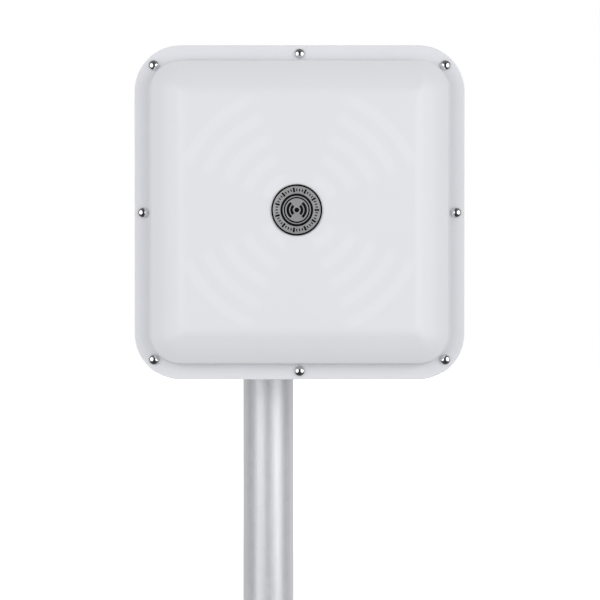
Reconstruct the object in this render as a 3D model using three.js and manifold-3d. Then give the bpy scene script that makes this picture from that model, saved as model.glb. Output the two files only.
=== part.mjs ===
// A flat directional panel antenna under a square radome, on a tilting bracket that is clamped
// to a short length of mast pipe. Millimetres, +Z up; the panel looks along -Y and the mast's
// axis is the Z axis, with the origin at the centre of the mast's foot.
import * as THREE from 'three';
import { mergeVertices } from 'three/addons/utils/BufferGeometryUtils.js';
import Module from 'manifold-3d';

const wasm = await Module();
wasm.setup();

// ---------------------------------------------------------------- driving dimensions
const GAP = 0.2; // clearance between two pieces that are pressed together

const MAST = { radius: 24.15, wall: 2.9, length: 463 }; // 48.3 mm galvanised pipe
const CAP = { wall: 2, depth: 16 };

// The panel is drawn flat: x to its right, y up and z out of its face, with z = 0 on the rear of
// the back plate.
const PANEL = { width: 300, height: 304, corner: 42, x: 30, z: 385, backY: -106 };
const PLATE_THICKNESS = 2; // aluminium back plate
const GASKET_THICKNESS = 1.8;
const RADOME = {
  wall: 3,
  thinned: 2.79, // the wall where forming has stretched it
  flange: 14, // width of the flange
  draft: 1, // how far the steep wall leans in over its height
  wallTop: 15, // heights are counted from the flange's front
  slope: { across: 12.5, up: 9.3 }, // from the top of the wall to where the shoulder gets flatter
  shoulder: 29.5, // from the foot of the wall to the edge of the flat face
  height: 32.5,
  outerFillets: { rim: 0.8, foot: 2.5, wallTop: 5, slope: 60, face: 22 },
  innerFillets: { foot: 4, wallTop: 3, face: 20 },
};
const SCREW = {
  inset: 7.7, // from the panel's edge to the middle screws
  cornerX: 132.5,
  cornerY: 133.8,
  head: 4.75,
  headHeight: 3.3,
  shank: 2.45,
  length: 15.5,
};
const BADGE = { radius: 23.25, thickness: 1.2, x: -2.5, y: 1.5 };

const BOARD = { size: 180, thickness: 1.6, z: 12 };
const PATCH = { size: 62, thickness: 1, pitch: 104, z: 24, notch: 12 };
const POST = { foot: 5, neck: 3.4 };
const JACK = {
  x: 28,
  y: -105,
  thread: 7.9, // radii of the thread, the flange and the mouth
  flange: 10,
  bore: 4.1,
  reach: 24, // behind the back plate
  tail: 3.4, // in front of it
};
const COAX_RADIUS = 1.8;

const SHEET = 3; // steel of both brackets
const PIVOT = { y: -61, z: -20, slotRadius: 40 }; // tilt axis, z counted from the panel's centre
const TILT_LIMIT = 20; // degrees each way
const EAR = 15; // radius of the steel round each tilt bolt
const TILT_BRACKET = { width: 40, height: 110, holeX: [-12, 6], holeZ: 40, corner: 6, beyondPivot: 27 };
const CLAMP = { halfWidth: 47, height: 100, faceY: -31, uBoltZ: 32, corner: 8 };
const U_BOLT = { rod: 4, tip: -51 };
const SADDLE = { halfWidth: 38, height: 22, sheet: 2.5, toothPitch: 3, toothDepth: 1.5, angle: 40 };

// Hexagon fasteners: half the width across flats, and what goes with each thread.
const M5 = { shank: 2.45, hole: 2.75, flats: 4, nut: 5 };
const M6 = { shank: 2.95, hole: 3.3, flats: 5, head: 4, nut: 6, flange: 7.1 };
const M8 = { shank: 3.95, hole: 4.3, flats: 6.5, head: 5.3, nut: 8, flange: 8.95 };
const NUT_FLANGE = { rim: 1, top: 2.4 }; // heights of a flange nut's rim and of the cone above it

const ROUND = 16; // facets round a fastener
const CORNER_STEPS = 6; // facets round each corner of the panel
const QUARTERS = [[1, 1], [-1, 1], [-1, -1], [1, -1]]; // signs of x and y in each quarter of the panel

// Levels through the panel, counted from the rear of the back plate.
const GASKET_Z = PLATE_THICKNESS + GAP;
const FLANGE_Z = GASKET_Z + GASKET_THICKNESS + GAP;
const FACE_Z = FLANGE_Z + RADOME.wall; // front of the radome's flange

// ---------------------------------------------------------------- materials
const finish = (color, roughness, metalness) =>
  new THREE.MeshStandardMaterial({ color, roughness, metalness });
const MATERIAL = {
  radome: finish(0xe4e5ea, 0.35, 0),
  badge: finish(0xa4a5a8, 0.4, 0.9),
  rubber: finish(0x26272a, 0.85, 0),
  aluminium: finish(0xbfc2c6, 0.45, 1),
  polished: finish(0xe6e6e8, 0.08, 1),
  zinc: finish(0xb9bec4, 0.35, 1),
  galvanised: finish(0xb4b7bc, 0.42, 1),
  nickel: finish(0xcfccc4, 0.2, 1),
  board: finish(0x1f5a3c, 0.5, 0),
  copper: finish(0xc58a5c, 0.3, 1),
  nylon: finish(0xe9e7df, 0.55, 0),
  blackPlastic: finish(0x1b1c1e, 0.6, 0),
};

// ---------------------------------------------------------------- solid helpers
function toSolid(geometry) {
  const bare = geometry.clone();
  bare.deleteAttribute('normal');
  bare.deleteAttribute('uv');
  const merged = mergeVertices(bare, 1e-4);
  const vertProperties = Float32Array.from(merged.getAttribute('position').array);
  const triVerts = Uint32Array.from(merged.index.array);
  return new wasm.Manifold(new wasm.Mesh({ numProp: 3, vertProperties, triVerts }));
}

function toGeometry(solid) {
  const { vertProperties, triVerts } = solid.getMesh();
  const geometry = new THREE.BufferGeometry();
  geometry.setAttribute('position', new THREE.BufferAttribute(Float32Array.from(vertProperties), 3));
  geometry.setIndex(new THREE.BufferAttribute(Uint32Array.from(triVerts), 1));
  geometry.computeVertexNormals();
  return geometry;
}

const cut = (geometry, tools) =>
  toGeometry(tools.reduce((left, tool) => left.subtract(toSolid(tool)), toSolid(geometry)));
const join = (geometries) => toGeometry(geometries.map(toSolid).reduce((all, one) => all.add(one)));
const overlap = (a, b) => toGeometry(toSolid(a).intersect(toSolid(b)));

// A solid turned about +Z. The profile lists [radius, z] anticlockwise, from the axis or closed.
function turned(profile, segments = ROUND) {
  const points = profile.map(([radius, z]) => new THREE.Vector2(radius, z));
  return new THREE.LatheGeometry(points, segments).rotateX(Math.PI / 2);
}

// A round bar along +Z from z0 to z1, centred on (x, y).
function bar(radius, z0, z1, x = 0, y = 0, segments = ROUND) {
  return new THREE.CylinderGeometry(radius, radius, z1 - z0, segments)
    .rotateX(Math.PI / 2)
    .translate(x, y, (z0 + z1) / 2);
}

// A hexagon prism along +Z with two of its flats facing +X and -X.
const hexagon = (flats, z0, z1) => bar(flats / Math.cos(Math.PI / 6), z0, z1, 0, 0, 6);

const slab = (shape, depth, curveSegments = CORNER_STEPS) =>
  new THREE.ExtrudeGeometry(shape, { depth, bevelEnabled: false, curveSegments });

function roundedRectangle(halfX, halfY, radius, Path = THREE.Shape) {
  const path = new Path();
  path.moveTo(halfX, -halfY + radius);
  path.absarc(halfX - radius, halfY - radius, radius, 0, Math.PI / 2);
  path.absarc(-halfX + radius, halfY - radius, radius, Math.PI / 2, Math.PI);
  path.absarc(-halfX + radius, -halfY + radius, radius, Math.PI, 1.5 * Math.PI);
  path.absarc(halfX - radius, -halfY + radius, radius, 1.5 * Math.PI, 2 * Math.PI);
  return path;
}

// Turns a solid drawn along +Z so that it lies along +X (its own x becomes Y and its y becomes Z).
const X_AXIS = new THREE.Vector3(1, 0, 0);
const Y_AXIS = new THREE.Vector3(0, 1, 0);
const Z_AXIS = new THREE.Vector3(0, 0, 1);
const LIE_ALONG_X = new THREE.Matrix4().makeBasis(Y_AXIS, Z_AXIS, X_AXIS);
const alongX = (geometry) => geometry.applyMatrix4(LIE_ALONG_X);

function piece(name, geometry, material, parent, position = [0, 0, 0]) {
  const mesh = new THREE.Mesh(geometry, material);
  mesh.name = name;
  mesh.position.set(...position);
  parent.add(mesh);
  return mesh;
}

// ---------------------------------------------------------------- radome
// A line of [u, h, radius] points with each inner corner rounded to its radius.
function filletedLine(corners, stepDegrees) {
  const line = [];
  corners.forEach(([u, h, radius], i) => {
    const here = new THREE.Vector2(u, h);
    if (!radius) {
      line.push(here);
      return;
    }
    const before = new THREE.Vector2(...corners[i - 1]).sub(here).normalize();
    const after = new THREE.Vector2(...corners[i + 1]).sub(here).normalize();
    const halfAngle = Math.acos(before.dot(after)) / 2;
    const inwards = before.clone().add(after).normalize();
    const middle = inwards.multiplyScalar(radius / Math.sin(halfAngle)).add(here);
    const start = here.clone().addScaledVector(before, radius / Math.tan(halfAngle)).sub(middle);
    const turn = Math.sign(before.cross(after)) * (Math.PI - 2 * halfAngle);
    const steps = Math.max(1, Math.round(THREE.MathUtils.radToDeg(Math.abs(turn)) / stepDegrees));
    for (let k = 0; k <= steps; k++) {
      line.push(start.clone().rotateAround(new THREE.Vector2(), (-turn * k) / steps).add(middle));
    }
  });
  return line;
}

// One closed ring of points round the panel, inset from its edge, at height z.
function panelRing(inset, z) {
  const radius = Math.max(PANEL.corner - inset, 1.2);
  const halfX = PANEL.width / 2 - inset - radius;
  const halfY = PANEL.height / 2 - inset - radius;
  const ring = [];
  QUARTERS.forEach(([signX, signY], quarter) => {
    for (let k = 0; k <= CORNER_STEPS; k++) {
      const angle = (quarter + k / CORNER_STEPS) * (Math.PI / 2);
      ring.push([signX * halfX + radius * Math.cos(angle), signY * halfY + radius * Math.sin(angle), z]);
    }
  });
  return ring;
}

// Skins a stack of rings, each joined to the next, and closes the first and last with a fan.
function skinned(rings) {
  const count = rings[0].length;
  const position = rings.flat(2);
  const index = [];
  for (let r = 0; r + 1 < rings.length; r++) {
    for (let k = 0; k < count; k++) {
      const a = r * count + k;
      const b = r * count + ((k + 1) % count);
      index.push(a, b, b + count, a, b + count, a + count);
    }
  }
  [[0, 1], [rings.length - 1, 0]].forEach(([r, facesDown]) => {
    const centre = position.length / 3;
    position.push(0, 0, rings[r][0][2]);
    for (let k = 0; k < count; k++) {
      const a = r * count + k;
      const b = r * count + ((k + 1) % count);
      index.push(...(facesDown ? [centre, b, a] : [centre, a, b]));
    }
  });
  const geometry = new THREE.BufferGeometry();
  geometry.setAttribute('position', new THREE.Float32BufferAttribute(position, 3));
  geometry.setIndex(index);
  return geometry;
}

// Where the eight radome screws go, clockwise from the top left corner.
const SCREW_PLACES = [
  [-SCREW.cornerX, SCREW.cornerY],
  [0, PANEL.height / 2 - SCREW.inset],
  [SCREW.cornerX, SCREW.cornerY],
  [PANEL.width / 2 - SCREW.inset, 0],
  [SCREW.cornerX, -SCREW.cornerY],
  [0, -PANEL.height / 2 + SCREW.inset],
  [-SCREW.cornerX, -SCREW.cornerY],
  [-PANEL.width / 2 + SCREW.inset, 0],
];
const screwHoles = (radius, z0, z1) => SCREW_PLACES.map(([x, y]) => bar(radius, z0, z1, x, y, 8));

// The formed shell: a flange, a steep wall, a sloped shoulder and a flat face.
function radome() {
  const { wall, thinned, flange, draft, wallTop, slope, shoulder, height } = RADOME;
  const { outerFillets, innerFillets } = RADOME;
  const ontoFace = 12; // how far both lines run on along the flat face
  const outside = filletedLine(
    [
      [0, 0, 0],
      [0, wall, outerFillets.rim],
      [flange, wall, outerFillets.foot],
      [flange + draft, wall + wallTop, outerFillets.wallTop],
      [flange + draft + slope.across, wall + wallTop + slope.up, outerFillets.slope],
      [flange + shoulder, wall + height, outerFillets.face],
      [flange + shoulder + ontoFace, wall + height, 0],
    ],
    24,
  );
  const inside = filletedLine(
    [
      [0, 0, 0],
      [flange + thinned, 0, innerFillets.foot],
      [flange + draft + thinned, wallTop + 0.8, innerFillets.wallTop],
      [flange + shoulder + 1, height, innerFillets.face],
      [flange + shoulder + ontoFace, height, 0],
    ],
    30,
  );
  const shell = skinned(outside.map(({ x, y }) => panelRing(x, y)));
  const hollow = skinned(inside.slice(1).map(({ x, y }) => panelRing(x, y)));
  const mouth = skinned([panelRing(flange + thinned, -5), panelRing(flange + thinned, 0.02)]);
  return cut(shell, [hollow, mouth, ...screwHoles(M5.hole, -1, wall + 1)]).translate(0, 0, FLANGE_Z);
}

// ---------------------------------------------------------------- the rest of the panel
function panelSlab(inset, depth, z) {
  const outline = roundedRectangle(PANEL.width / 2 - inset, PANEL.height / 2 - inset, PANEL.corner - inset);
  return slab(outline, depth).translate(0, 0, z);
}

function radomeGasket() {
  const outer = panelSlab(1.5, GASKET_THICKNESS, GASKET_Z);
  const window = panelSlab(RADOME.flange - 1, GASKET_THICKNESS + 2, GASKET_Z - 1);
  return cut(outer, [window, ...screwHoles(M5.hole, 0, GASKET_Z + GASKET_THICKNESS + 1)]);
}

const bracketBoltPlaces = TILT_BRACKET.holeX.flatMap((x) =>
  [1, -1].map((sign) => [x, sign * TILT_BRACKET.holeZ]),
);

function backPlate() {
  return cut(panelSlab(0.8, PLATE_THICKNESS, 0), [
    ...screwHoles(M5.hole, -1, PLATE_THICKNESS + 1),
    ...bracketBoltPlaces.map(([x, y]) => bar(M6.hole, -1, PLATE_THICKNESS + 1, x, y, 16)),
    ...[-1, 1].map((side) => bar(JACK.thread + 0.3, -1, PLATE_THICKNESS + 1, side * JACK.x, JACK.y, 24)),
  ]);
}

// A smooth domed head with its shank running back through the flange, gasket and plate.
function radomeScrew() {
  const { head, headHeight, shank } = SCREW;
  const dome = [];
  const rim = 0.5; // the head's short upright edge
  const steps = 4;
  for (let k = 0; k < steps; k++) {
    const angle = (k / steps) * (Math.PI / 2);
    dome.push([head * Math.cos(angle), rim + (headHeight - rim) * Math.sin(angle)]);
  }
  const tip = -SCREW.length;
  const shaft = [[0, tip], [shank - 0.5, tip], [shank, tip + 0.5], [shank, 0], [head - 0.2, 0]];
  return turned([...shaft, ...dome, [0, headHeight]], 12);
}

// A thin round plate with a small chamfer round its face.
function badge() {
  const { radius, thickness } = BADGE;
  const chamfer = 0.5;
  const edge = [[radius, 0], [radius, thickness - chamfer], [radius - chamfer, thickness]];
  return turned([[0, 0], ...edge, [0, thickness]], 40);
}

// Hexagon nut with the raised collar that holds a locking ring.
function lockingNut({ flats, nut, hole }) {
  const collarRadius = flats - 0.6;
  const chamfer = 0.6;
  const top = [[collarRadius, nut - chamfer], [collarRadius - chamfer, nut], [0, nut]];
  const collar = turned([[0, 0], [collarRadius, 0], ...top], 12);
  const hexagonHeight = nut * 0.68;
  return cut(join([hexagon(flats, 0, hexagonHeight), collar]), [bar(hole - 0.1, -1, nut + 1, 0, 0, 8)]);
}

// Hexagon nut standing on its own washer-like flange.
function flangeNut({ flats, nut, flange, hole }) {
  const { rim, top } = NUT_FLANGE;
  const skirt = turned([[0, 0], [flange, 0], [flange, rim], [flats, top], [0, top]], ROUND);
  return cut(join([hexagon(flats, rim, nut), skirt]), [bar(hole - 0.15, -1, nut + 1, 0, 0, 12)]);
}

// Hexagon head from z = 0 up, with its shank running down to -length.
const hexBolt = ({ flats, head, shank }, length) =>
  join([hexagon(flats, 0, head), bar(shank, -length, 0.5)]);

function feedBoard() {
  const half = PATCH.pitch / 2;
  const outline = roundedRectangle(BOARD.size / 2, BOARD.size / 2, 6);
  const postHole = ([sx, sy]) => bar(POST.neck + 0.4, -1, BOARD.thickness + 1, sx * half, sy * half, 12);
  const holes = QUARTERS.map(postHole);
  return cut(slab(outline, BOARD.thickness, 4), holes);
}

// A square plate with two opposite corners cut off.
function patchRadiator() {
  const half = PATCH.size / 2;
  const outline = new THREE.Shape([
    new THREE.Vector2(-half, -half + PATCH.notch),
    new THREE.Vector2(-half + PATCH.notch, -half),
    new THREE.Vector2(half, -half),
    new THREE.Vector2(half, half - PATCH.notch),
    new THREE.Vector2(half - PATCH.notch, half),
    new THREE.Vector2(-half, half),
  ]);
  return slab(outline, PATCH.thickness);
}

// A shouldered post: the board rests on its shoulder and a patch on its tip.
function patchPost() {
  const shoulder = BOARD.z - PLATE_THICKNESS - 2 * GAP;
  const tip = PATCH.z - PLATE_THICKNESS - 2 * GAP;
  const { foot, neck } = POST;
  return turned([[0, 0], [foot, 0], [foot, shoulder], [neck, shoulder], [neck, tip], [0, tip]], 12);
}

// A coaxial socket that looks backwards: flange and tail inside the panel, thread outside.
function antennaJack() {
  const inside = PLATE_THICKNESS + GAP;
  return turned(
    [
      [0, -JACK.reach + 5],
      [1.6, -JACK.reach + 5],
      [1.6, -JACK.reach + 10],
      [JACK.bore, -JACK.reach + 10],
      [JACK.bore, -JACK.reach + 0.5],
      [JACK.bore + 0.5, -JACK.reach],
      [JACK.thread - 0.6, -JACK.reach],
      [JACK.thread, -JACK.reach + 0.8],
      [JACK.thread, inside],
      [JACK.flange, inside],
      [JACK.flange, inside + 2.2],
      [4, inside + 2.2],
      [4, inside + JACK.tail],
      [0, inside + JACK.tail],
    ],
    16,
  );
}

const jackNut = () => cut(hexagon(9.5, 0, 3), [bar(JACK.thread + 0.2, -1, 4, 0, 0, 20)]);

// The coax leaves the jack's tail, turns upward and lies along the front of the feed board.
function feedCoax() {
  const start = PLATE_THICKNESS + JACK.tail + 2 * GAP;
  const run = BOARD.z + BOARD.thickness + COAX_RADIUS + GAP;
  const bend = 8;
  const [foot, bendStart, corner, bendEnd, end] = [
    [0, start],
    [0, run - bend],
    [0, run],
    [bend, run],
    [50, run],
  ].map(([y, z]) => new THREE.Vector3(0, y, z));
  const route = new THREE.CurvePath();
  route.add(new THREE.LineCurve3(foot, bendStart));
  route.add(new THREE.QuadraticBezierCurve3(bendStart, corner, bendEnd));
  route.add(new THREE.LineCurve3(bendEnd, end));
  const section = new THREE.Shape();
  section.absarc(0, 0, COAX_RADIUS, 0, 2 * Math.PI);
  return new THREE.ExtrudeGeometry(section, { steps: 24, curveSegments: 4, extrudePath: route });
}

// ---------------------------------------------------------------- brackets
const INNER_BEND = 2; // inside radius of the bend of both brackets
const BEND_DEPTH = INNER_BEND + SHEET - 0.01; // how deep the bend reaches into the fin
const PAST_BEND = 60; // half width of the outline over a base; it runs on past the bend

// A sheet bent to a right angle: the base runs from the bend along -X and the fin along +Y
// (or along -Y when finSign is -1), both through the whole height along Z.
function angleSection(base, fin, finSign, height) {
  const outer = INNER_BEND + SHEET;
  const shape = new THREE.Shape();
  const at = (x, y) => [x, y * finSign];
  const bend = (radius) =>
    [0, 1, 2, 3, 4].map((k) => {
      const angle = -Math.PI / 2 + (k / 4) * (Math.PI / 2);
      return at(-outer + radius * Math.cos(angle), outer + radius * Math.sin(angle));
    });
  const outside = [at(-base, 0), ...bend(outer), at(0, fin)];
  const inside = [at(-SHEET, fin), ...bend(INNER_BEND).reverse(), at(-base, SHEET)];
  shape.setFromPoints([...outside, ...inside].map(([x, y]) => new THREE.Vector2(x, y)));
  return slab(shape, height).translate(0, 0, -height / 2);
}

// A prism through both legs of a bracket from an outline drawn in its fin's own plane (y, z).
const finPrism = (shape, x0, x1) => alongX(slab(shape, x1 - x0, 8)).translate(x0, 0, 0);
// The same for an outline drawn in the base's plane (x, z).
const basePrism = (shape, y0, y1) => slab(shape, y1 - y0, 5).rotateX(Math.PI / 2).translate(0, y1, 0);
const holeAlongX = (radius, x0, x1, y, z) => alongX(bar(radius, x0, x1, y, z, 16));
const holeAlongY = (radius, y0, y1, x, z) => bar(radius, -y1, -y0, x, z, 16).rotateX(Math.PI / 2);

// The bracket on the panel: a base bolted to the back plate and a fin with the curved tilt slot.
// Its own origin is on the rear of the back plate, at the panel's centre.
const FIN_X = CLAMP.halfWidth + GAP + 0.1 + SHEET - PANEL.x; // outer face of the slotted fin
function tiltBracket() {
  const pivotY = PIVOT.y - PANEL.backY;
  const reach = pivotY + TILT_BRACKET.beyondPivot;
  const section = angleSection(TILT_BRACKET.width, reach, 1, TILT_BRACKET.height).translate(FIN_X, 0, 0);

  const half = TILT_BRACKET.height / 2;
  const finOutline = new THREE.Shape();
  finOutline.moveTo(-1, -half);
  finOutline.lineTo(12, -half + 2);
  finOutline.lineTo(pivotY - 4, PIVOT.z - EAR);
  finOutline.absarc(pivotY, PIVOT.z, EAR, -1.8, 0.1);
  const top = PIVOT.slotRadius + 12; // the steel above the slot
  finOutline.absarc(pivotY, PIVOT.z, top, Math.PI / 2 - 0.5, Math.PI / 2 + 0.3);
  finOutline.lineTo(12, half - 2);
  finOutline.lineTo(-1, half);
  const outline = join([
    finPrism(finOutline, FIN_X - SHEET - 1, FIN_X + 1),
    basePrism(roundedRectangle(PAST_BEND, half, TILT_BRACKET.corner), -1, BEND_DEPTH)
      .translate(FIN_X - TILT_BRACKET.width + PAST_BEND, 0, 0),
  ]);

  const limit = THREE.MathUtils.degToRad(TILT_LIMIT + 0.8);
  const slot = new THREE.Shape();
  const { slotRadius } = PIVOT;
  const slotEnd = (angle) => [
    pivotY + slotRadius * Math.cos(angle),
    PIVOT.z + slotRadius * Math.sin(angle),
  ];
  const right = Math.PI / 2 - limit;
  const left = Math.PI / 2 + limit;
  slot.absarc(pivotY, PIVOT.z, slotRadius + M8.hole, right, left);
  slot.absarc(...slotEnd(left), M8.hole, left, left + Math.PI);
  slot.absarc(pivotY, PIVOT.z, slotRadius - M8.hole, left, right, true);
  slot.absarc(...slotEnd(right), M8.hole, right + Math.PI, right + 2 * Math.PI);

  return cut(overlap(section, outline), [
    finPrism(slot, FIN_X - SHEET - 1, FIN_X + 1),
    holeAlongX(M8.hole, FIN_X - SHEET - 1, FIN_X + 1, pivotY, PIVOT.z),
    ...bracketBoltPlaces.map(([x, z]) => holeAlongY(M6.hole, -1, SHEET + 1, x, z)),
  ]);
}

// The bracket on the mast: a base that takes both U-bolts and a fin that carries the tilt bolts.
function clampBracket() {
  const { halfWidth, height, faceY } = CLAMP;
  const finTip = -(PIVOT.y - faceY) + EAR;
  const section = angleSection(2 * halfWidth, finTip, -1, height).translate(halfWidth, faceY, 0);
  const half = height / 2;
  const lock = PIVOT.z + PIVOT.slotRadius;
  const finOutline = new THREE.Shape();
  finOutline.moveTo(faceY + 1, half);
  finOutline.lineTo(faceY - 7, half - 1);
  finOutline.absarc(PIVOT.y, lock, EAR, Math.PI / 2 - 0.5, Math.PI);
  finOutline.absarc(PIVOT.y, PIVOT.z, EAR, Math.PI, 1.5 * Math.PI + 0.5);
  finOutline.lineTo(faceY - 7, -half + 1);
  finOutline.lineTo(faceY + 1, -half);
  const outline = join([
    finPrism(finOutline, halfWidth - SHEET - 1, halfWidth + 1),
    basePrism(roundedRectangle(PAST_BEND, half, CLAMP.corner), faceY - BEND_DEPTH - 0.02, faceY + 1)
      .translate(PAST_BEND - halfWidth, 0, 0),
  ]);
  const legs = [-1, 1].flatMap((sx) => [-1, 1].map((sz) => [sx * U_BOLT_SPREAD, sz * CLAMP.uBoltZ]));
  return cut(overlap(section, outline), [
    holeAlongX(M8.hole, halfWidth - SHEET - 1, halfWidth + 1, PIVOT.y, PIVOT.z),
    holeAlongX(M8.hole, halfWidth - SHEET - 1, halfWidth + 1, PIVOT.y, lock),
    ...legs.map(([x, z]) => holeAlongY(M8.hole + 0.3, faceY - SHEET - 1, faceY + 1, x, z)),
  ]);
}

// ---------------------------------------------------------------- mast clamps
const U_BOLT_SPREAD = MAST.radius + 0.3 + U_BOLT.rod; // from the mast's axis to each leg's centre

// The centre line of a U-bolt: one leg, half a turn behind the mast, and the other leg.
class UBoltPath extends THREE.Curve {
  getPoint(t) {
    const leg = -U_BOLT.tip;
    const bow = Math.PI * U_BOLT_SPREAD;
    const along = t * (2 * leg + bow);
    if (along < leg) return new THREE.Vector3(-U_BOLT_SPREAD, along - leg, 0);
    if (along > leg + bow) return new THREE.Vector3(U_BOLT_SPREAD, leg + bow - along, 0);
    const angle = Math.PI - (along - leg) / U_BOLT_SPREAD;
    return new THREE.Vector3(U_BOLT_SPREAD * Math.cos(angle), U_BOLT_SPREAD * Math.sin(angle), 0);
  }
}

function uBolt() {
  const section = new THREE.Shape();
  section.absarc(0, 0, U_BOLT.rod, 0, 2 * Math.PI);
  return new THREE.ExtrudeGeometry(section, { steps: 26, curveSegments: 5, extrudePath: new UBoltPath() });
}

// A pressed channel between bracket and mast: its two flanges have a toothed V that bites the pipe.
function saddle() {
  const { halfWidth, height, sheet, toothPitch, toothDepth, angle } = SADDLE;
  const front = CLAMP.faceY + GAP;
  const lean = THREE.MathUtils.degToRad(angle);
  const tip = MAST.radius + 0.35;
  const onV = (along, depth) => [
    depth * Math.sin(lean) + along * Math.cos(lean),
    -depth * Math.cos(lean) + along * Math.sin(lean),
  ];
  const teeth = [];
  for (let along = -9; along <= 9; along += toothPitch) {
    teeth.push(onV(along - toothPitch / 2, tip + toothDepth), onV(along, tip));
  }
  const rightSide = [[halfWidth, front], [halfWidth, front + 5], [30, -12], ...teeth.reverse()];
  const leftSide = rightSide.map(([x, y]) => [-x, y]).reverse();
  const outline = new THREE.Shape([...rightSide, ...leftSide].map(([x, y]) => new THREE.Vector2(x, y)));
  const flange = slab(outline, sheet);
  const web = new THREE.BoxGeometry(2 * halfWidth, sheet, height).translate(0, front + sheet / 2, 0);
  const holes = [-1, 1].map((side) =>
    holeAlongY(U_BOLT.rod + 0.4, front - 1, front + sheet + 1, side * U_BOLT_SPREAD, 0),
  );
  const upper = flange.clone().translate(0, 0, height / 2 - sheet);
  const channel = join([web, upper, flange.translate(0, 0, -height / 2)]);
  return cut(channel, holes);
}

// ---------------------------------------------------------------- mast
function mastTube() {
  const { radius, wall, length } = MAST;
  const bore = radius - wall;
  return turned([[bore, 0], [radius, 0], [radius, length], [bore, length], [bore, 0]], 40);
}

// A push-in cap: a low dome over the pipe's end and a hollow spigot inside it.
function mastCap() {
  const rim = MAST.radius;
  const spigot = rim - MAST.wall - 0.4;
  const hollow = spigot - CAP.wall;
  const inside = [[0, -CAP.wall], [hollow, -CAP.wall], [hollow, -CAP.depth]];
  const outside = [[spigot, -CAP.depth], [spigot, 0], [rim, 0], [rim, 2.2], [rim - 2, 3.8], [0, 4.6]];
  return turned([...inside, ...outside], 24);
}

// ---------------------------------------------------------------- assembly
const antennaOnMast = new THREE.Group();

const mast = new THREE.Group();
antennaOnMast.add(mast);
piece('mast_tube', mastTube(), MATERIAL.galvanised, mast);
piece('mast_cap', mastCap(), MATERIAL.blackPlastic, mast, [0, 0, MAST.length + GAP]);

const mastClamp = new THREE.Group();
mastClamp.position.z = PANEL.z;
antennaOnMast.add(mastClamp);
piece('clamp_bracket', clampBracket(), MATERIAL.zinc, mastClamp);
const uBoltNutGeometry = flangeNut(M8).rotateX(Math.PI / 2); // stands along -Y
[['upper', 1], ['lower', -1]].forEach(([level, sign]) => {
  const z = sign * CLAMP.uBoltZ;
  piece(`u_bolt_${level}`, uBolt(), MATERIAL.zinc, mastClamp, [0, 0, z]);
  piece(`saddle_${level}`, saddle(), MATERIAL.zinc, mastClamp, [0, 0, z]);
  [['left', -1], ['right', 1]].forEach(([side, sx]) => {
    const nutPlace = [sx * U_BOLT_SPREAD, CLAMP.faceY - SHEET - GAP, z];
    piece(`u_bolt_nut_${level}_${side}`, uBoltNutGeometry, MATERIAL.zinc, mastClamp, nutPlace);
  });
});
const tiltBoltGeometry = alongX(hexBolt(M8, 22));
const tiltNutGeometry = alongX(flangeNut(M8)).rotateY(Math.PI); // stands along -X
[['pivot', PIVOT.z], ['lock', PIVOT.z + PIVOT.slotRadius]].forEach(([use, z]) => {
  const headX = PANEL.x + FIN_X + GAP;
  const nutX = CLAMP.halfWidth - SHEET - GAP;
  piece(`tilt_${use}_bolt`, tiltBoltGeometry, MATERIAL.zinc, mastClamp, [headX, PIVOT.y, z]);
  piece(`tilt_${use}_nut`, tiltNutGeometry, MATERIAL.zinc, mastClamp, [nutX, PIVOT.y, z]);
});

const antenna = new THREE.Group();
antenna.position.set(PANEL.x, PANEL.backY, PANEL.z);
antennaOnMast.add(antenna);
piece('tilt_bracket', tiltBracket(), MATERIAL.zinc, antenna);

const panel = new THREE.Group(); // the flat-drawn panel, stood up to look along -Y
panel.rotation.x = Math.PI / 2;
antenna.add(panel);
piece('radome', radome(), MATERIAL.radome, panel);
piece('radome_gasket', radomeGasket(), MATERIAL.rubber, panel);
piece('back_plate', backPlate(), MATERIAL.aluminium, panel);
piece('badge', badge(), MATERIAL.badge, panel, [BADGE.x, BADGE.y, FACE_Z + RADOME.height + GAP]);

const screwGeometry = radomeScrew();
const screwNutGeometry = lockingNut(M5).rotateX(Math.PI); // stands along -z, behind the plate
SCREW_PLACES.forEach(([x, y], k) => {
  piece(`radome_screw_${k + 1}`, screwGeometry, MATERIAL.polished, panel, [x, y, FACE_Z + GAP]);
  piece(`radome_nut_${k + 1}`, screwNutGeometry, MATERIAL.zinc, panel, [x, y, -GAP]);
});

const bracketBoltGeometry = hexBolt(M6, 14);
const bracketNutGeometry = flangeNut(M6).rotateX(Math.PI);
bracketBoltPlaces.forEach(([x, y], k) => {
  piece(`bracket_bolt_${k + 1}`, bracketBoltGeometry, MATERIAL.zinc, panel, [x, y, PLATE_THICKNESS + GAP]);
  piece(`bracket_nut_${k + 1}`, bracketNutGeometry, MATERIAL.zinc, panel, [x, y, -SHEET - GAP]);
});

piece('feed_board', feedBoard(), MATERIAL.board, panel, [0, 0, BOARD.z]);
const patchGeometry = patchRadiator();
const postGeometry = patchPost();
QUARTERS.forEach(([sx, sy], k) => {
  const [x, y] = [(sx * PATCH.pitch) / 2, (sy * PATCH.pitch) / 2];
  piece(`patch_radiator_${k + 1}`, patchGeometry, MATERIAL.aluminium, panel, [x, y, PATCH.z]);
  piece(`patch_post_${k + 1}`, postGeometry, MATERIAL.nylon, panel, [x, y, PLATE_THICKNESS + GAP]);
});

[['left', -1], ['right', 1]].forEach(([side, sx]) => {
  const x = sx * JACK.x;
  piece(`antenna_jack_${side}`, antennaJack(), MATERIAL.nickel, panel, [x, JACK.y, 0]);
  piece(`jack_nut_${side}`, jackNut(), MATERIAL.nickel, panel, [x, JACK.y, -3 - GAP]);
  piece(`feed_coax_${side}`, feedCoax(), MATERIAL.copper, panel, [x, JACK.y, 0]);
});

export default antennaOnMast;
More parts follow.
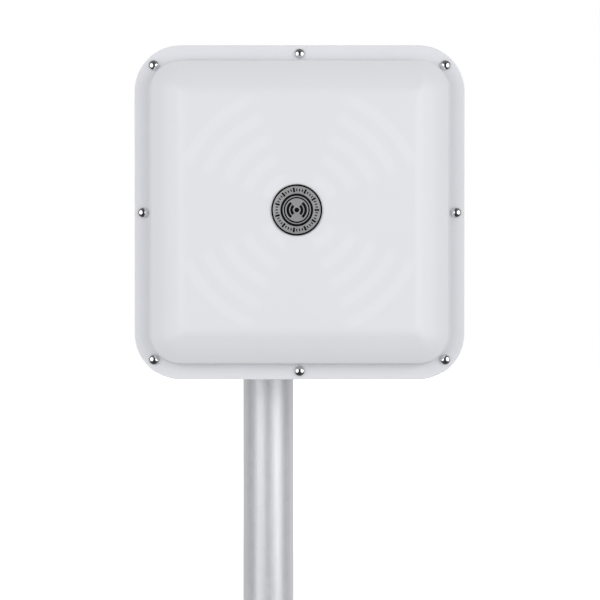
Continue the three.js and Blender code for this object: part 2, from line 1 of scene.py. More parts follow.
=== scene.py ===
"""The looks of a flat panel antenna on its mast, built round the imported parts.

Lengths are metres in the parts' own frame: the mast stands on Z and the panel looks along -Y.
"""
import math

import bmesh
import bpy
from mathutils import Matrix, Vector


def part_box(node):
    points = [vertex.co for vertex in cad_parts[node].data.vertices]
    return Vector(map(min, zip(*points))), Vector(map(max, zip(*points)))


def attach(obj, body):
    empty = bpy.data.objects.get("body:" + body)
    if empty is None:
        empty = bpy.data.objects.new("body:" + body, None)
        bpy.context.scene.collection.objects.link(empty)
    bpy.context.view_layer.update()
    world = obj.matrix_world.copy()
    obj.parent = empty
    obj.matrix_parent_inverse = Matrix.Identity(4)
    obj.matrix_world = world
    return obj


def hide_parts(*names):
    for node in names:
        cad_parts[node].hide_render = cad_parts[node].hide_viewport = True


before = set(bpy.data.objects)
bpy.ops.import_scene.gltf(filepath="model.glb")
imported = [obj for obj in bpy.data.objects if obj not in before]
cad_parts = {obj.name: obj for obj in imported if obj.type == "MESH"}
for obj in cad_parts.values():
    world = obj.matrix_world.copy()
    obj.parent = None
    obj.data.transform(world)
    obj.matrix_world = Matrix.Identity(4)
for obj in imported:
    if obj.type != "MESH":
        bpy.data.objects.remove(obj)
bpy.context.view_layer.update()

MM = 0.001
TAU = 2 * math.pi
X, Y, Z = Vector((1, 0, 0)), Vector((0, 1, 0)), Vector((0, 0, 1))


# ---------------- where things are
def middle(node):
    """The middle of a CAD node's box."""
    low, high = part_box(node)
    return (low + high) / 2


def seats(names, y):
    """The middle of each node, moved to the depth y."""
    return [Vector((middle(name).x, y, middle(name).z)) for name in names]


def numbered(stem, count):
    """Names that end in _1, _2 and so on."""
    return [f"{stem}_{k + 1}" for k in range(count)]


def placed(name, data):
    """A new object in the scene."""
    made = bpy.data.objects.new(name, data)
    bpy.context.collection.objects.link(made)
    return made


plate_low, plate_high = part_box("back_plate")
radome_low, radome_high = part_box("radome")
gasket_low, gasket_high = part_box("radome_gasket")
_, mast_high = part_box("mast_tube")
clamp_low, clamp_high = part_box("clamp_bracket")

PANEL_CENTRE = middle("radome")
PANEL_WIDTH = radome_high.x - radome_low.x
PANEL_HEIGHT = radome_high.z - radome_low.z
PANEL_CORNER = 42 * MM
PLATE_BACK = plate_high.y  # the rear face of the back plate
MAST_RADIUS, MAST_WALL = mast_high.x, 2.9 * MM
SHEET, INNER_BEND = 3 * MM, 2 * MM  # steel of both brackets, and the inner radius of their bends
EAR = 15 * MM  # radius of the steel round each tilt bolt
TILT_LIMIT = 20  # degrees each way
ARC_FIRST, ARC_LAST, ARC_PITCH = 32 * MM, 109 * MM, 19.4 * MM  # radii of the radome's raised arcs
ARC_HALF_SECTOR = math.radians(24)
SIDES = ("left", "right")
LEVELS = ("upper", "lower")


def axes(origin, right, up):
    """The place of a piece drawn with x to the right, y up and z out of the paper."""
    out = right.cross(up)
    turn = Matrix((right, up, out)).transposed().to_4x4()
    return Matrix.Translation(origin) @ turn


def panel_place(depth):
    """The panel's own drawing plane, depth in front of the rear of the back plate."""
    return axes(Vector((PANEL_CENTRE.x, PLATE_BACK - depth, PANEL_CENTRE.z)), X, Z)


# ---------------- camera
def make_camera():
    """A long lens about two metres away, near the panel's own height, looking slightly down."""
    distance, height, down = 2.04, 0.335, 0.83  # down is in degrees
    aside = 0.4 * MM
    flange_front = radome_high.y - 3 * MM
    data = bpy.data.cameras.new("camera")
    data.sensor_width, data.lens = 36, 134.5
    data.clip_start, data.clip_end = 0.1, 30
    camera = placed("camera", data)
    camera.location = (PANEL_CENTRE.x + aside, flange_front - distance, height)
    camera.rotation_euler = (math.radians(90 - down), 0, 0)
    bpy.context.scene.camera = camera


make_camera()


# ---------------- node trees
class Socket:
    """One output of a node. Arithmetic on it adds Math nodes to the same tree."""

    def __init__(self, tree, output):
        self.tree, self.output = tree, output

    def __add__(self, other):
        return self.tree.math("ADD", self, other)

    def __radd__(self, other):
        return self.tree.math("ADD", other, self)

    def __sub__(self, other):
        return self.tree.math("SUBTRACT", self, other)

    def __rsub__(self, other):
        return self.tree.math("SUBTRACT", other, self)

    def __mul__(self, other):
        return self.tree.math("MULTIPLY", self, other)

    def __rmul__(self, other):
        return self.tree.math("MULTIPLY", other, self)

    def __truediv__(self, other):
        return self.tree.math("DIVIDE", self, other)

    def __mod__(self, other):
        return self.tree.math("FLOORED_MODULO", self, other)


class Tree:
    """A node tree and the one method that adds nodes to it."""

    def __init__(self, tree):
        self.tree = tree

    def node(self, kind, values=None, out=0, **settings):
        """Adds a node: its settings first, then the values or links of its sockets."""
        made = self.tree.nodes.new(kind)
        for name, value in settings.items():
            setattr(made, name, value)
        for key, value in (values or {}).items():
            if isinstance(value, Socket):
                self.tree.links.new(value.output, made.inputs[key])
            else:
                made.inputs[key].default_value = value
        return Socket(self, made.outputs[out]) if len(made.outputs) else None

    def math(self, operation, *values):
        return self.node("ShaderNodeMath", dict(enumerate(values)), operation=operation)

    def vector_math(self, operation, *values, out=0):
        return self.node("ShaderNodeVectorMath", dict(enumerate(values)), out, operation=operation)

    def parts(self, vector):
        """The three numbers of a vector."""
        split = self.node("ShaderNodeSeparateXYZ", {0: vector}).output.node
        return [Socket(self, output) for output in split.outputs]

    def vector(self, x, y, z):
        return self.node("ShaderNodeCombineXYZ", {0: x, 1: y, 2: z})

    def between(self, value, low, high):
        """0 where value is at most low, 1 where it is at least high, and a smooth step between."""
        values = {"Value": value, "From Min": low, "From Max": high}
        return self.node("ShaderNodeMapRange", values, interpolation_type="SMOOTHSTEP")


# ---------------- shader trees
class Finish(Tree):
    """A material's tree, with the patterns that several finishes share."""

    def __init__(self, name):
        self.material = bpy.data.materials.new(name)
        self.material.use_nodes = True
        super().__init__(self.material.node_tree)
        self.tree.nodes.clear()
        self.place = self.node("ShaderNodeTexCoord", out="Object")

    def scaled(self, x, y, z, turn=(0, 0, 0)):
        """Object coordinates, turned and stretched."""
        values = {"Vector": self.place, "Scale": (x, y, z), "Rotation": turn}
        return self.node("ShaderNodeMapping", values)

    def noise(self, scale, detail=3.0, roughness=0.5, place=None, distortion=0.0):
        values = {"Vector": place or self.place, "Scale": scale, "Detail": detail}
        values.update({"Roughness": roughness, "Distortion": distortion})
        return self.node("ShaderNodeTexNoise", values)

    def cells(self, scale, place=None, out="Distance"):
        values = {"Vector": place or self.place, "Scale": scale}
        return self.node("ShaderNodeTexVoronoi", values, out)

    def blend(self, first, second, factor):
        """Mixes two colours."""
        values = {0: factor, 6: first, 7: second}
        return self.node("ShaderNodeMix", values, 2, data_type="RGBA")

    def bump(self, height, distance, strength=1.0, normal=None):
        values = {"Height": height, "Distance": distance, "Strength": strength}
        if normal is not None:
            values["Normal"] = normal
        return self.node("ShaderNodeBump", values)

    def surface(self, color, roughness, metallic=0.0, normal=None, **constants):
        """The finished surface. Constants go straight on the shader's own sockets, _ for each space."""
        values = {"Base Color": color, "Roughness": roughness, "Metallic": metallic}
        values.update({name.replace("_", " "): value for name, value in constants.items()})
        if normal is not None:
            values["Normal"] = normal
        shader = self.node("ShaderNodeBsdfPrincipled", values, out="BSDF")
        self.node("ShaderNodeOutputMaterial", {"Surface": shader})
        return self.material


def grey(value, blue=0.0):
    """A grey, with a little more blue where blue is above 0."""
    return (value, value, value * (1 + blue), 1)


def arc_pattern(t, x, z, first, last, pitch, half_sector):
    """1 on the raised arcs and 0 off them: rings about the centre, kept to four diagonal sectors."""
    distance = t.math("SQRT", x * x + z * z)
    quarter = math.pi / 2
    off_diagonal = t.math("ABSOLUTE", (t.math("ARCTAN2", z, x) % quarter) - quarter / 2)
    sector = 1 - t.between(off_diagonal, half_sector - 0.12, half_sector + 0.04)  # its ends fade out
    wave = t.math("COSINE", (distance - first) / pitch * TAU)
    crest = t.between(wave, -0.8, 0.8)
    half = pitch * 0.5
    inner = t.between(distance, first - half, first - half * 0.6)
    outer = 1 - t.between(distance, last + half * 0.6, last + half)
    return crest * sector * inner * outer


def radome_finish():
    """Formed white ABS: a slightly cool white with a soft orange peel and very light marks of handling.

    Its raised arcs are a little lighter in colour than the rest.
    """
    m = Finish("white_abs")
    x, _, z = m.parts(m.place)
    arcs = arc_pattern(
        m, x - PANEL_CENTRE.x, z - PANEL_CENTRE.z, ARC_FIRST, ARC_LAST, ARC_PITCH, ARC_HALF_SECTOR
    )
    mottle = m.noise(9, 4)
    smudge = m.between(m.noise(26, 5, 0.62, distortion=0.6), 0.5, 0.72)
    specks = m.between(m.cells(420), 0.055, 0.03) * m.between(m.noise(60, 2), 0.56, 0.66)
    color = m.blend((0.665, 0.67, 0.703, 1), (0.69, 0.695, 0.728, 1), mottle)
    color = m.blend(color, (0.73, 0.735, 0.765, 1), arcs * 0.38)
    color = m.blend(color, (0.58, 0.58, 0.60, 1), specks * 0.35)
    rough = 0.38 + mottle * 0.05 + smudge * 0.06
    peel = m.bump(m.noise(520, 2), 0.02 * MM)
    waves = m.bump(m.noise(16, 2), 0.5 * MM, 0.35, peel)
    return m.surface(color, rough, normal=waves)


def badge_finish():
    """Brushed metal, its grain running across."""
    m = Finish("brushed_badge")
    grain = m.noise(40, 5, 0.7, m.scaled(6, 1, 220))
    patch = m.noise(60, 3)
    color = m.blend(grey(0.46, 0.02), grey(0.68, 0.04), grain)
    color = m.blend(color, grey(0.76, 0.03), m.between(patch, 0.45, 0.75) * 0.4)
    return m.surface(color, 0.30 + grain * 0.22, 0.92, m.bump(grain, 0.02 * MM, 0.6))


def plain_finish(name, low, high, cloud, rough, fine=None, metallic=0.0, **constants):
    """Two colours in one soft cloud, rougher where it is lighter.

    cloud is a noise, rough is (least, range) and fine is (noise, depth in millimetres, strength).
    """
    m = Finish(name)
    shade = m.noise(*cloud)
    color = m.blend(low, high, shade)
    relief = m.bump(m.noise(*fine[0]), fine[1] * MM, fine[2]) if fine else None
    return m.surface(color, rough[0] + shade * rough[1], metallic, relief, **constants)


def polished_finish():
    """Polished stainless steel with the finest of scratches."""
    m = Finish("polished_steel")
    cloud = m.noise(300, 3)
    scratch = m.noise(700, 4, 0.7, m.scaled(1, 1, 9, (0.4, 0.2, 0.9)))
    color = m.blend(grey(0.78, 0.02), grey(0.86, 0.02), cloud)
    return m.surface(color, 0.05 + scratch * 0.05, 1.0, m.bump(scratch, 0.004 * MM, 0.5))


def galvanised_finish():
    """Hot-dip zinc on a drawn pipe: soft streaks, fine dull crystals and a few faint stains."""
    m = Finish("galvanised_steel")
    streak = m.noise(120, 4, 0.6, m.scaled(1, 1, 0.03))
    fine = m.noise(800, 3, 0.6, m.scaled(1, 1, 0.03))
    crystal = m.parts(m.cells(240, m.scaled(1, 1, 0.5), out="Color"))[0]
    cloud = m.noise(14, 4, 0.6, m.scaled(1, 1, 0.6))
    stain = m.between(m.noise(30, 5, 0.65, m.scaled(1, 1, 0.25)), 0.6, 0.8)
    shade = m.between(streak * 0.5 + fine * 0.2 + crystal * 0.06 + cloud * 0.3, 0.36, 0.68)
    color = m.blend((0.675, 0.685, 0.72, 1), (0.80, 0.808, 0.84, 1), shade)
    color = m.blend(color, (0.52, 0.51, 0.49, 1), stain * 0.25)
    rough = 0.40 + crystal * 0.04 + cloud * 0.12 + stain * 0.08
    relief = streak * 0.5 + fine * 0.12 + cloud * 0.5 + crystal * 0.02
    return m.surface(color, rough, 0.6, m.bump(relief, 0.12 * MM, 0.7))


def zinc_finish():
    """Bright zinc plate over pressed steel, a little blue, with rub marks and cloudy passivation."""
    m = Finish("zinc_plate")
    cloud = m.noise(28, 4, 0.6)
    rub = m.between(m.noise(240, 4, 0.7, m.scaled(0.3, 1, 1, (0.5, 0.3, 0.2))), 0.55, 0.8)
    tint = m.between(m.noise(45, 3), 0.4, 0.7)
    color = m.blend((0.56, 0.58, 0.62, 1), (0.70, 0.70, 0.71, 1), cloud)
    color = m.blend(color, (0.66, 0.63, 0.55, 1), tint * 0.22)
    rough = 0.26 + cloud * 0.12 + rub * 0.18
    relief = m.bump(m.noise(650, 3) + rub * 0.5, 0.02 * MM, 0.7)
    return m.surface(color, rough, 1.0, relief)


def aluminium_finish():
    """Mill-finish aluminium sheet: a rolling grain, dull oxide clouds and a few long scratches."""
    m = Finish("mill_aluminium")
    grain = m.noise(260, 5, 0.65, m.scaled(1, 1, 0.03))
    oxide = m.noise(12, 5, 0.6)
    scratch = m.between(m.noise(55, 3, 0.5, m.scaled(0.06, 1, 1, (0, 0.5, 0))), 0.7, 0.74)
    color = m.blend(grey(0.52, 0.01), grey(0.68, 0.01), grain * 0.6 + oxide * 0.4)
    color = m.blend(color, grey(0.84), scratch * 0.5)
    rough = 0.34 + oxide * 0.16 + grain * 0.08 - scratch * 0.1
    return m.surface(color, rough, 1.0, m.bump(grain - scratch * 0.4, 0.02 * MM, 0.6))


def black_plastic_finish():
    """Moulded black plastic with a spark-eroded grain."""
    m = Finish("black_plastic")
    grain = m.cells(900)
    wear = m.noise(40, 4)
    color = m.blend(grey(0.012), grey(0.03), wear)
    return m.surface(color, 0.45 + wear * 0.15, normal=m.bump(grain, 0.05 * MM, 0.8))


def moulded_finish(name, low, high):
    """Off-white moulded plastic, between a low and a high brightness."""
    dark, light = (low, low * 0.98, low * 0.92, 1), (high, high * 0.98, high * 0.93, 1)
    return plain_finish(name, dark, light, (120, 3), (0.4, 0.12), ((900, 2), 0.02, 1))


def board_finish():
    """Green solder mask over glass cloth, with the power divider's copper lines showing through."""
    m = Finish("solder_mask")
    x, _, z = m.parts(m.vector_math("SUBTRACT", m.place, tuple(PANEL_CENTRE)))
    pitch = abs(middle("patch_radiator_1").x - middle("patch_radiator_2").x) / 2
    coax_x = abs(middle("feed_coax_left").x - PANEL_CENTRE.x)
    far_x, far_z = m.math("ABSOLUTE", x), m.math("ABSOLUTE", z)
    line, edge, stem_length = 1.6 * MM, 0.15 * MM, 60 * MM

    def run(offset, along, length):
        """A straight copper line at an offset, as far as length along the other way."""
        wide = 1 - m.between(m.math("ABSOLUTE", offset), line - edge, line)
        return wide * (1 - m.between(along, length - edge, length))

    arms = m.math("MAXIMUM", run(z, far_x, pitch), run(far_x - pitch, far_z, pitch))
    copper = m.math("MAXIMUM", arms, run(far_x - coax_x, far_z, stem_length))
    weave = m.noise(700, 2, 0.5, m.scaled(1, 1, 1, (0, 0.785, 0)))
    green = m.blend((0.010, 0.070, 0.032, 1), (0.016, 0.100, 0.046, 1), weave)
    color = m.blend(green, (0.05, 0.20, 0.06, 1), copper)
    return m.surface(color, 0.32 + weave * 0.1, normal=m.bump(copper, 0.035 * MM, 0.8))


def braid_finish():
    """The tinned braid of a hand-formed coax, woven round the cable."""
    m = Finish("tinned_braid")
    x, y, z = m.parts(m.place)
    strands = 1980  # radians per metre
    first = m.math("SINE", (x + z) * strands)
    second = m.math("SINE", (y * 1.3 - z) * strands)
    weave = m.math("MAXIMUM", first, second) * 0.5 + 0.5
    color = m.blend(grey(0.34), grey(0.72, 0.01), weave)
    return m.surface(color, 0.32 + m.noise(500) * 0.12, 0.95, m.bump(weave, 0.1 * MM, 0.8))


NICKEL = (0.62, 0.58, 0.50, 1), (0.74, 0.71, 0.64, 1)
GOLD = (0.80, 0.52, 0.16, 1), (0.93, 0.66, 0.27, 1)
ENAMEL = grey(0.001), grey(0.003)
RUBBER = grey(0.014), grey(0.04)
FINISH = {
    "radome": radome_finish(),
    "badge": badge_finish(),
    "enamel": plain_finish(
        "black_enamel", *ENAMEL, (900, 2), (0.5, 0.15), ((900, 2), 0.01, 1), Specular_IOR_Level=0.12
    ),
    "polished_steel": polished_finish(),
    "galvanised": galvanised_finish(),
    "zinc": zinc_finish(),
    "aluminium": aluminium_finish(),
    "nickel": plain_finish("nickel_plate", *NICKEL, (90, 3), (0.14, 0.12), ((1100, 3), 0.006, 0.6), 1.0),
    "gold": plain_finish("gold_contact", *GOLD, (400, 3), (0.18, 0.1), None, 1.0),
    "rubber": plain_finish("black_rubber", *RUBBER, (45, 4), (0.72, 0.15), ((1300, 2), 0.04, 1)),
    "black_plastic": black_plastic_finish(),
    "nylon": moulded_finish("natural_nylon", 0.66, 0.78),
    "insulator": moulded_finish("white_insulator", 0.78, 0.86),
    "board": board_finish(),
    "coax_jacket": braid_finish(),
}


# ---------------- mesh helpers
def rounded(points, step=12):
    """A line through (x, y) or (x, y, radius) points, with an arc at each corner that has a radius."""
    line = []
    for i, (x, y, *extra) in enumerate(points):
        here = Vector((x, y))
        if not extra:
            line.append(here)
            continue
        back = (Vector(points[i - 1][:2]) - here).normalized()
        ahead = (Vector(points[(i + 1) % len(points)][:2]) - here).normalized()
        half = back.angle(ahead) / 2
        centre = here + (back + ahead).normalized() * (extra[0] / math.sin(half))
        start = here + back * (extra[0] / math.tan(half)) - centre
        turn = math.copysign(math.pi - 2 * half, -(back.x * ahead.y - back.y * ahead.x))
        steps = max(1, round(abs(math.degrees(turn)) / step))
        line += [centre + Matrix.Rotation(turn * k / steps, 2) @ start for k in range(steps + 1)]
    return [(p.x, p.y) for p in line]


def arc(centre, radius, start, end, step=8):
    """Points along an arc, angles in degrees."""
    steps = max(2, round(abs(end - start) / step))
    turns = [math.radians(start + (end - start) * k / steps) for k in range(steps + 1)]
    return [(centre[0] + radius * math.cos(t), centre[1] + radius * math.sin(t)) for t in turns]


def circle(centre, radius, steps=32):
    """A closed loop of points, the first one not repeated."""
    return arc(centre, radius, 0, 360, 360 / steps)[:-1]


def skin(rings, close_ends=True):
    """Vertices and faces through a stack of rings, with a fan over each end."""
    count = len(rings[0])
    points = [p for ring in rings for p in ring]
    faces = []
    for r in range(len(rings) - 1):
        for k in range(count):
            a, b = r * count + k, r * count + (k + 1) % count
            faces.append((a, b, b + count, a + count))
    if close_ends:
        for r, facing in ((0, -1), (len(rings) - 1, 1)):
            ring = rings[r]
            centre = len(points)
            points.append(tuple(sum(p[i] for p in ring) / count for i in range(3)))
            for k in range(count):
                a, b = r * count + k, r * count + (k + 1) % count
                faces.append((centre, a, b) if facing > 0 else (centre, b, a))
    return points, faces


def new_mesh(points, faces):
    """A mesh from points, and faces given by their numbers."""
    mesh = bpy.data.meshes.new("made")
    mesh.from_pydata(points, [], faces)
    return mesh


def sharpened(mesh, angle):
    """Smooth all over but for the edges sharper than an angle."""
    mesh.shade_smooth()
    mesh.set_sharp_from_angle(angle=math.radians(angle))
    return mesh


def tidy(mesh, angle=32):
    """Merges doubles, turns every face outwards and smooths all but the sharp edges."""
    work = bmesh.new()
    work.from_mesh(mesh)
    tiny = 0.0004 * MM
    bmesh.ops.remove_doubles(work, verts=work.verts, dist=tiny)
    bmesh.ops.dissolve_degenerate(work, edges=work.edges, dist=tiny)
    bmesh.ops.recalc_face_normals(work, faces=work.faces)
    work.to_mesh(mesh)
    work.free()
    return sharpened(mesh, angle)


def joined(meshes, angle=32):
    """One mesh from several, with their materials kept apart."""
    work = bmesh.new()
    materials = []
    for mesh in meshes:
        first = len(work.faces)
        work.from_mesh(mesh)
        work.faces.ensure_lookup_table()
        for face in work.faces[first:]:
            used = mesh.materials[face.material_index] if mesh.materials else None
            if used not in materials:
                materials.append(used)
            face.material_index = materials.index(used)
    whole = bpy.data.meshes.new("joined")
    for material in materials:
        whole.materials.append(material)
    work.to_mesh(whole)
    work.free()
    return sharpened(whole, angle)


def painted(mesh, finish):
    """Gives a mesh one finish."""
    mesh.materials.clear()
    mesh.materials.append(FINISH[finish])
    return mesh


def evaluated(obj):
    """The object's mesh once its modifiers or its curve's own shape are worked out."""
    bpy.context.view_layer.update()
    graph = bpy.context.evaluated_depsgraph_get()
    mesh = bpy.data.meshes.new_from_object(obj.evaluated_get(graph), depsgraph=graph)
    bpy.data.objects.remove(obj)
    return mesh


def piece(name, mesh, body, nodes, angle=None):
    """Puts a finished mesh in the scene, on its body, in the place of its CAD nodes."""
    mesh.name = name
    if angle is not None:
        tidy(mesh, angle)
    made = placed(name, mesh)
    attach(made, body)
    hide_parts(*nodes)


# ---------------- geometry node trees
class Shaper(Tree):
    """A geometry tree with named inputs, run on a mesh of points to give a plain mesh."""

    def __init__(self, name, **inputs):
        """inputs holds the names of the tree's inputs under their kind, such as Float or Int."""
        group = bpy.data.node_groups.new(name, "GeometryNodeTree")
        super().__init__(group)
        new_socket = group.interface.new_socket
        kinds = {"Geometry": "Geometry", "Material": "Material"}
        kinds.update({label: kind for kind, labels in inputs.items() for label in labels})
        self.names = {}
        for label, kind in kinds.items():
            socket = new_socket(name=label, in_out="INPUT", socket_type=f"NodeSocket{kind}")
            self.names[label] = socket.identifier
        new_socket(name="Geometry", in_out="OUTPUT", socket_type="NodeSocketGeometry")
        start = group.nodes.new("NodeGroupInput")
        self.inputs = {label: Socket(self, start.outputs[label]) for label in kinds}

    def end(self, geometry):
        """Realize Instances, Set Material and the way out."""
        plain = self.node("GeometryNodeRealizeInstances", {"Geometry": geometry})
        values = {"Geometry": plain, "Material": self.inputs["Material"]}
        done = self.node("GeometryNodeSetMaterial", values)
        way_out = self.tree.nodes.new("NodeGroupOutput")
        self.tree.links.new(done.output, way_out.inputs["Geometry"])

    def shape(self, mesh, **values):
        """Runs the tree on a mesh. Underscores in a name stand for spaces."""
        base = placed("shaped", mesh)
        modifier = base.modifiers.new("shape", "NODES")
        modifier.node_group = self.tree
        for label, value in values.items():
            modifier[self.names[label.replace("_", " ")]] = value
        return evaluated(base)


def turned_tree():
    """Turned pieces: a profile swept round +Z, with hexagon flats and a thread where it has them.

    One copy stands at each point, along the direction Turn, each spun by its own random angle.
    """
    t = Shaper(
        "turned_copies",
        Object=["Profile"],
        Int=["Columns", "Seed"],
        Float=["Hexagon Flats", "Hexagon From", "Thread Radius", "Thread Depth", "Thread Pitch", "Spin"],
        Vector=["Turn"],
    )
    given = t.inputs
    profile = t.node("GeometryNodeObjectInfo", {"Object": given["Profile"]}, out="Geometry")
    rows = t.node("GeometryNodeAttributeDomainSize", {0: profile}, "Point Count", component="MESH")
    size = {"Size X": 1, "Size Y": 1, "Vertices X": given["Columns"] + 1, "Vertices Y": rows}
    grid = t.node("GeometryNodeMeshGrid", size)
    position = t.node("GeometryNodeInputPosition")
    across, up, _ = t.parts(position)
    row = t.math("ROUND", (up + 0.5) * (rows - 1))
    values = {"Geometry": profile, "Value": position, "Index": row}
    point = t.node("GeometryNodeSampleIndex", values, data_type="FLOAT_VECTOR", domain="POINT")
    radius, _, height = t.parts(point)
    angle = (across + 0.5) * TAU

    sixth = math.pi / 3
    flat = given["Hexagon Flats"] / t.math("COSINE", (angle + sixth / 2) % sixth - sixth / 2)
    inside = t.math("MINIMUM", radius, flat)
    is_hexagon = t.math("GREATER_THAN", height, given["Hexagon From"])
    radius_now = radius + (inside - radius) * is_hexagon

    hair = 0.001 * MM
    is_thread = t.math("LESS_THAN", t.math("ABSOLUTE", radius - given["Thread Radius"]), hair)
    ridge = t.math("PINGPONG", height / given["Thread Pitch"] - angle / TAU, 0.5) * 2
    radius_now = radius_now - given["Thread Depth"] * ridge * is_thread
    place = t.vector(radius_now * t.math("COSINE", angle), radius_now * t.math("SINE", angle), height)
    swept = t.node("GeometryNodeSetPosition", {"Geometry": grid, "Position": place})
    closed = t.node("GeometryNodeMergeByDistance", {"Geometry": swept, "Distance": hair / 2})

    values = {2: 0.0, 3: given["Spin"], "Seed": given["Seed"]}
    spin = t.node("FunctionNodeRandomValue", values, 1, data_type="FLOAT")
    values = {"Rotation": given["Turn"], "Rotate By": t.vector(0, 0, spin)}
    facing = t.node("FunctionNodeRotateRotation", values, rotation_space="LOCAL")
    values = {"Points": given["Geometry"], "Instance": closed, "Rotation": facing}
    t.end(t.node("GeometryNodeInstanceOnPoints", values))
    return t


def raised_arcs_tree():
    """Faint raised arcs on the radome's face: rings about the centre, kept to four diagonal sectors."""
    rings = ["First Ring", "Last Ring", "Ring Pitch", "Half Sector"]
    t = Shaper("raised_arcs", Vector=["Centre"], Float=[*rings, "Relief", "Face From"])
    given = t.inputs
    position = t.node("GeometryNodeInputPosition")
    x, y, z = t.parts(t.vector_math("SUBTRACT", position, given["Centre"]))
    on_face = t.math("LESS_THAN", y, given["Face From"])
    height = given["Relief"] * arc_pattern(t, x, z, *[given[name] for name in rings]) * on_face
    values = {"Geometry": given["Geometry"], "Offset": t.vector(0, height * -1, 0)}
    t.end(t.node("GeometryNodeSetPosition", values))
    return t


def ring_of_marks_tree():
    """Short bars set along a circle like the degrees of a dial, every Nth one longer."""
    sizes = ["Start", "Step", "Radius", "Length", "Width", "Height"]
    t = Shaper("ring_of_marks", Int=["Count", "Long Every"], Float=sizes)
    given = t.inputs
    bar_size = t.vector(given["Length"], given["Width"], given["Height"])
    bar = t.node("GeometryNodeMeshCube", {"Size": bar_size})
    index = t.node("GeometryNodeInputIndex")
    angle = given["Start"] + index * given["Step"]
    radius = given["Radius"]
    place = t.vector(t.math("COSINE", angle) * radius, t.math("SINE", angle) * radius, 0)
    points = t.node("GeometryNodePoints", {"Count": given["Count"], "Position": place})
    is_long = t.math("LESS_THAN", index % given["Long Every"], 0.5)
    short_length, short_width = 0.55, 0.75  # of the sizes given
    scale = t.vector(short_length + is_long * 0.45, short_width + is_long * 0.5, 1)
    values = {"Points": points, "Instance": bar, "Rotation": t.vector(0, 0, angle), "Scale": scale}
    t.end(t.node("GeometryNodeInstanceOnPoints", values))
    return t


TURNED = turned_tree()
RAISED_ARCS = raised_arcs_tree()
RING_OF_MARKS = ring_of_marks_tree()


def dial_marks(count, **sizes):
    """Enamel bars along a circle, every fourth one longer."""
    values = {"Count": count, "Long_Every": 4, "Material": FINISH["enamel"], **sizes}
    return tidy(RING_OF_MARKS.shape(new_mesh([(0, 0, 0)], []), **values))


def turned(profile, places, out, finish, columns=48, hexagon=None, thread=None, spin=0.0, seed=1):
    """Turned copies, given in millimetres, one at each place with its +Z along out.

    hexagon is (half the width across flats, height it starts at) and thread is (radius, depth, pitch).
    """
    points = [(r * MM, 0, z * MM) for r, z in profile]
    outline = placed("profile", new_mesh(points, []))
    flats, flats_from = hexagon or (1000, 0)
    radius, depth, pitch = thread or (-1, 0, 1)
    mesh = TURNED.shape(
        new_mesh([tuple(p) for p in places], []),
        Profile=outline,
        Columns=columns,
        Hexagon_Flats=flats * MM,
        Hexagon_From=flats_from * MM,
        Thread_Radius=radius * MM,
        Thread_Depth=depth * MM,
        Thread_Pitch=pitch * MM,
        Turn=tuple(out.to_track_quat("Z", "Y").to_euler()),
        Spin=spin,
        Seed=seed,
        Material=FINISH[finish],
    )
    bpy.data.objects.remove(outline)
    return tidy(mesh)


def threaded(radius, low, high, pitch, steps=8):
    """The rows of a profile that a thread needs from one height to another."""
    count = max(2, round((high - low) / pitch * steps))
    return [(radius, low + (high - low) * k / count) for k in range(count + 1)]


# ---------------- flat and bent sheets
def signed_area(loop):
    """Above 0 for a loop that runs anticlockwise."""
    return sum(x0 * y1 - x1 * y0 for (x0, y0), (x1, y1) in zip(loop, loop[1:] + loop[:1])) / 2


def flat_sheet(loops, thickness, place, finish, edge=0.25 * MM):
    """A sheet cut to closed outlines, holes among them, with its edges just broken.

    It lies on its drawing plane.
    """
    curve = bpy.data.curves.new("outline", "CURVE")
    curve.dimensions, curve.fill_mode = "2D", "BOTH"
    curve.extrude = thickness / 2 - edge
    curve.bevel_depth, curve.bevel_resolution, curve.offset = edge, 0, -edge
    for number, loop in enumerate(loops):
        if (signed_area(loop) > 0) == bool(number):  # the outline runs anticlockwise, holes clockwise
            loop = loop[::-1]
        spline = curve.splines.new("POLY")
        spline.points.add(len(loop) - 1)
        spline.use_cyclic_u = True
        for point, (x, y) in zip(spline.points, loop):
            point.co = (x, y, 0, 1)
    mesh = evaluated(placed("outline", curve))
    mesh.transform(place @ Matrix.Translation((0, 0, thickness / 2)))
    return painted(mesh, finish)


def cut_across(mesh, places):
    """Adds edges across a mesh where it crosses each x."""
    work = bmesh.new()
    work.from_mesh(mesh)
    for x in places:
        everything = work.verts[:] + work.edges[:] + work.faces[:]
        bmesh.ops.bisect_plane(work, geom=everything, plane_co=(x, 0, 0), plane_no=X, dist=1e-7)
    work.to_mesh(mesh)
    work.free()


class Bend:
    """A right-angled bend in sheet steel that starts at x and folds what lies beyond it up along +z."""

    def __init__(self, start, inner, thickness):
        self.start, self.inner, self.thickness = start, inner, thickness
        self.neutral = inner + thickness / 2
        self.length = self.neutral * math.pi / 2

    def flat(self, height):
        """How far along the flat blank a point lies that ends up at this height on the fin."""
        return self.start + self.length + height - (self.thickness + self.inner)

    def fold(self, mesh, both_ends=False):
        steps = 10
        lines = [self.start + self.length * k / steps for k in range(steps + 1)]
        cut_across(mesh, lines + ([-x for x in lines] if both_ends else []))
        centre = self.thickness + self.inner
        for vertex in mesh.vertices:
            x, y, z = vertex.co
            side = -1 if both_ends and x < 0 else 1
            beyond = x * side - self.start
            if beyond <= 0:
                continue
            turn = min(beyond, self.length) / self.neutral
            radius = centre - z
            straight = max(0, beyond - self.length)
            out = self.start + radius * math.sin(turn)
            vertex.co = (side * out, y, centre - radius * math.cos(turn) + straight)


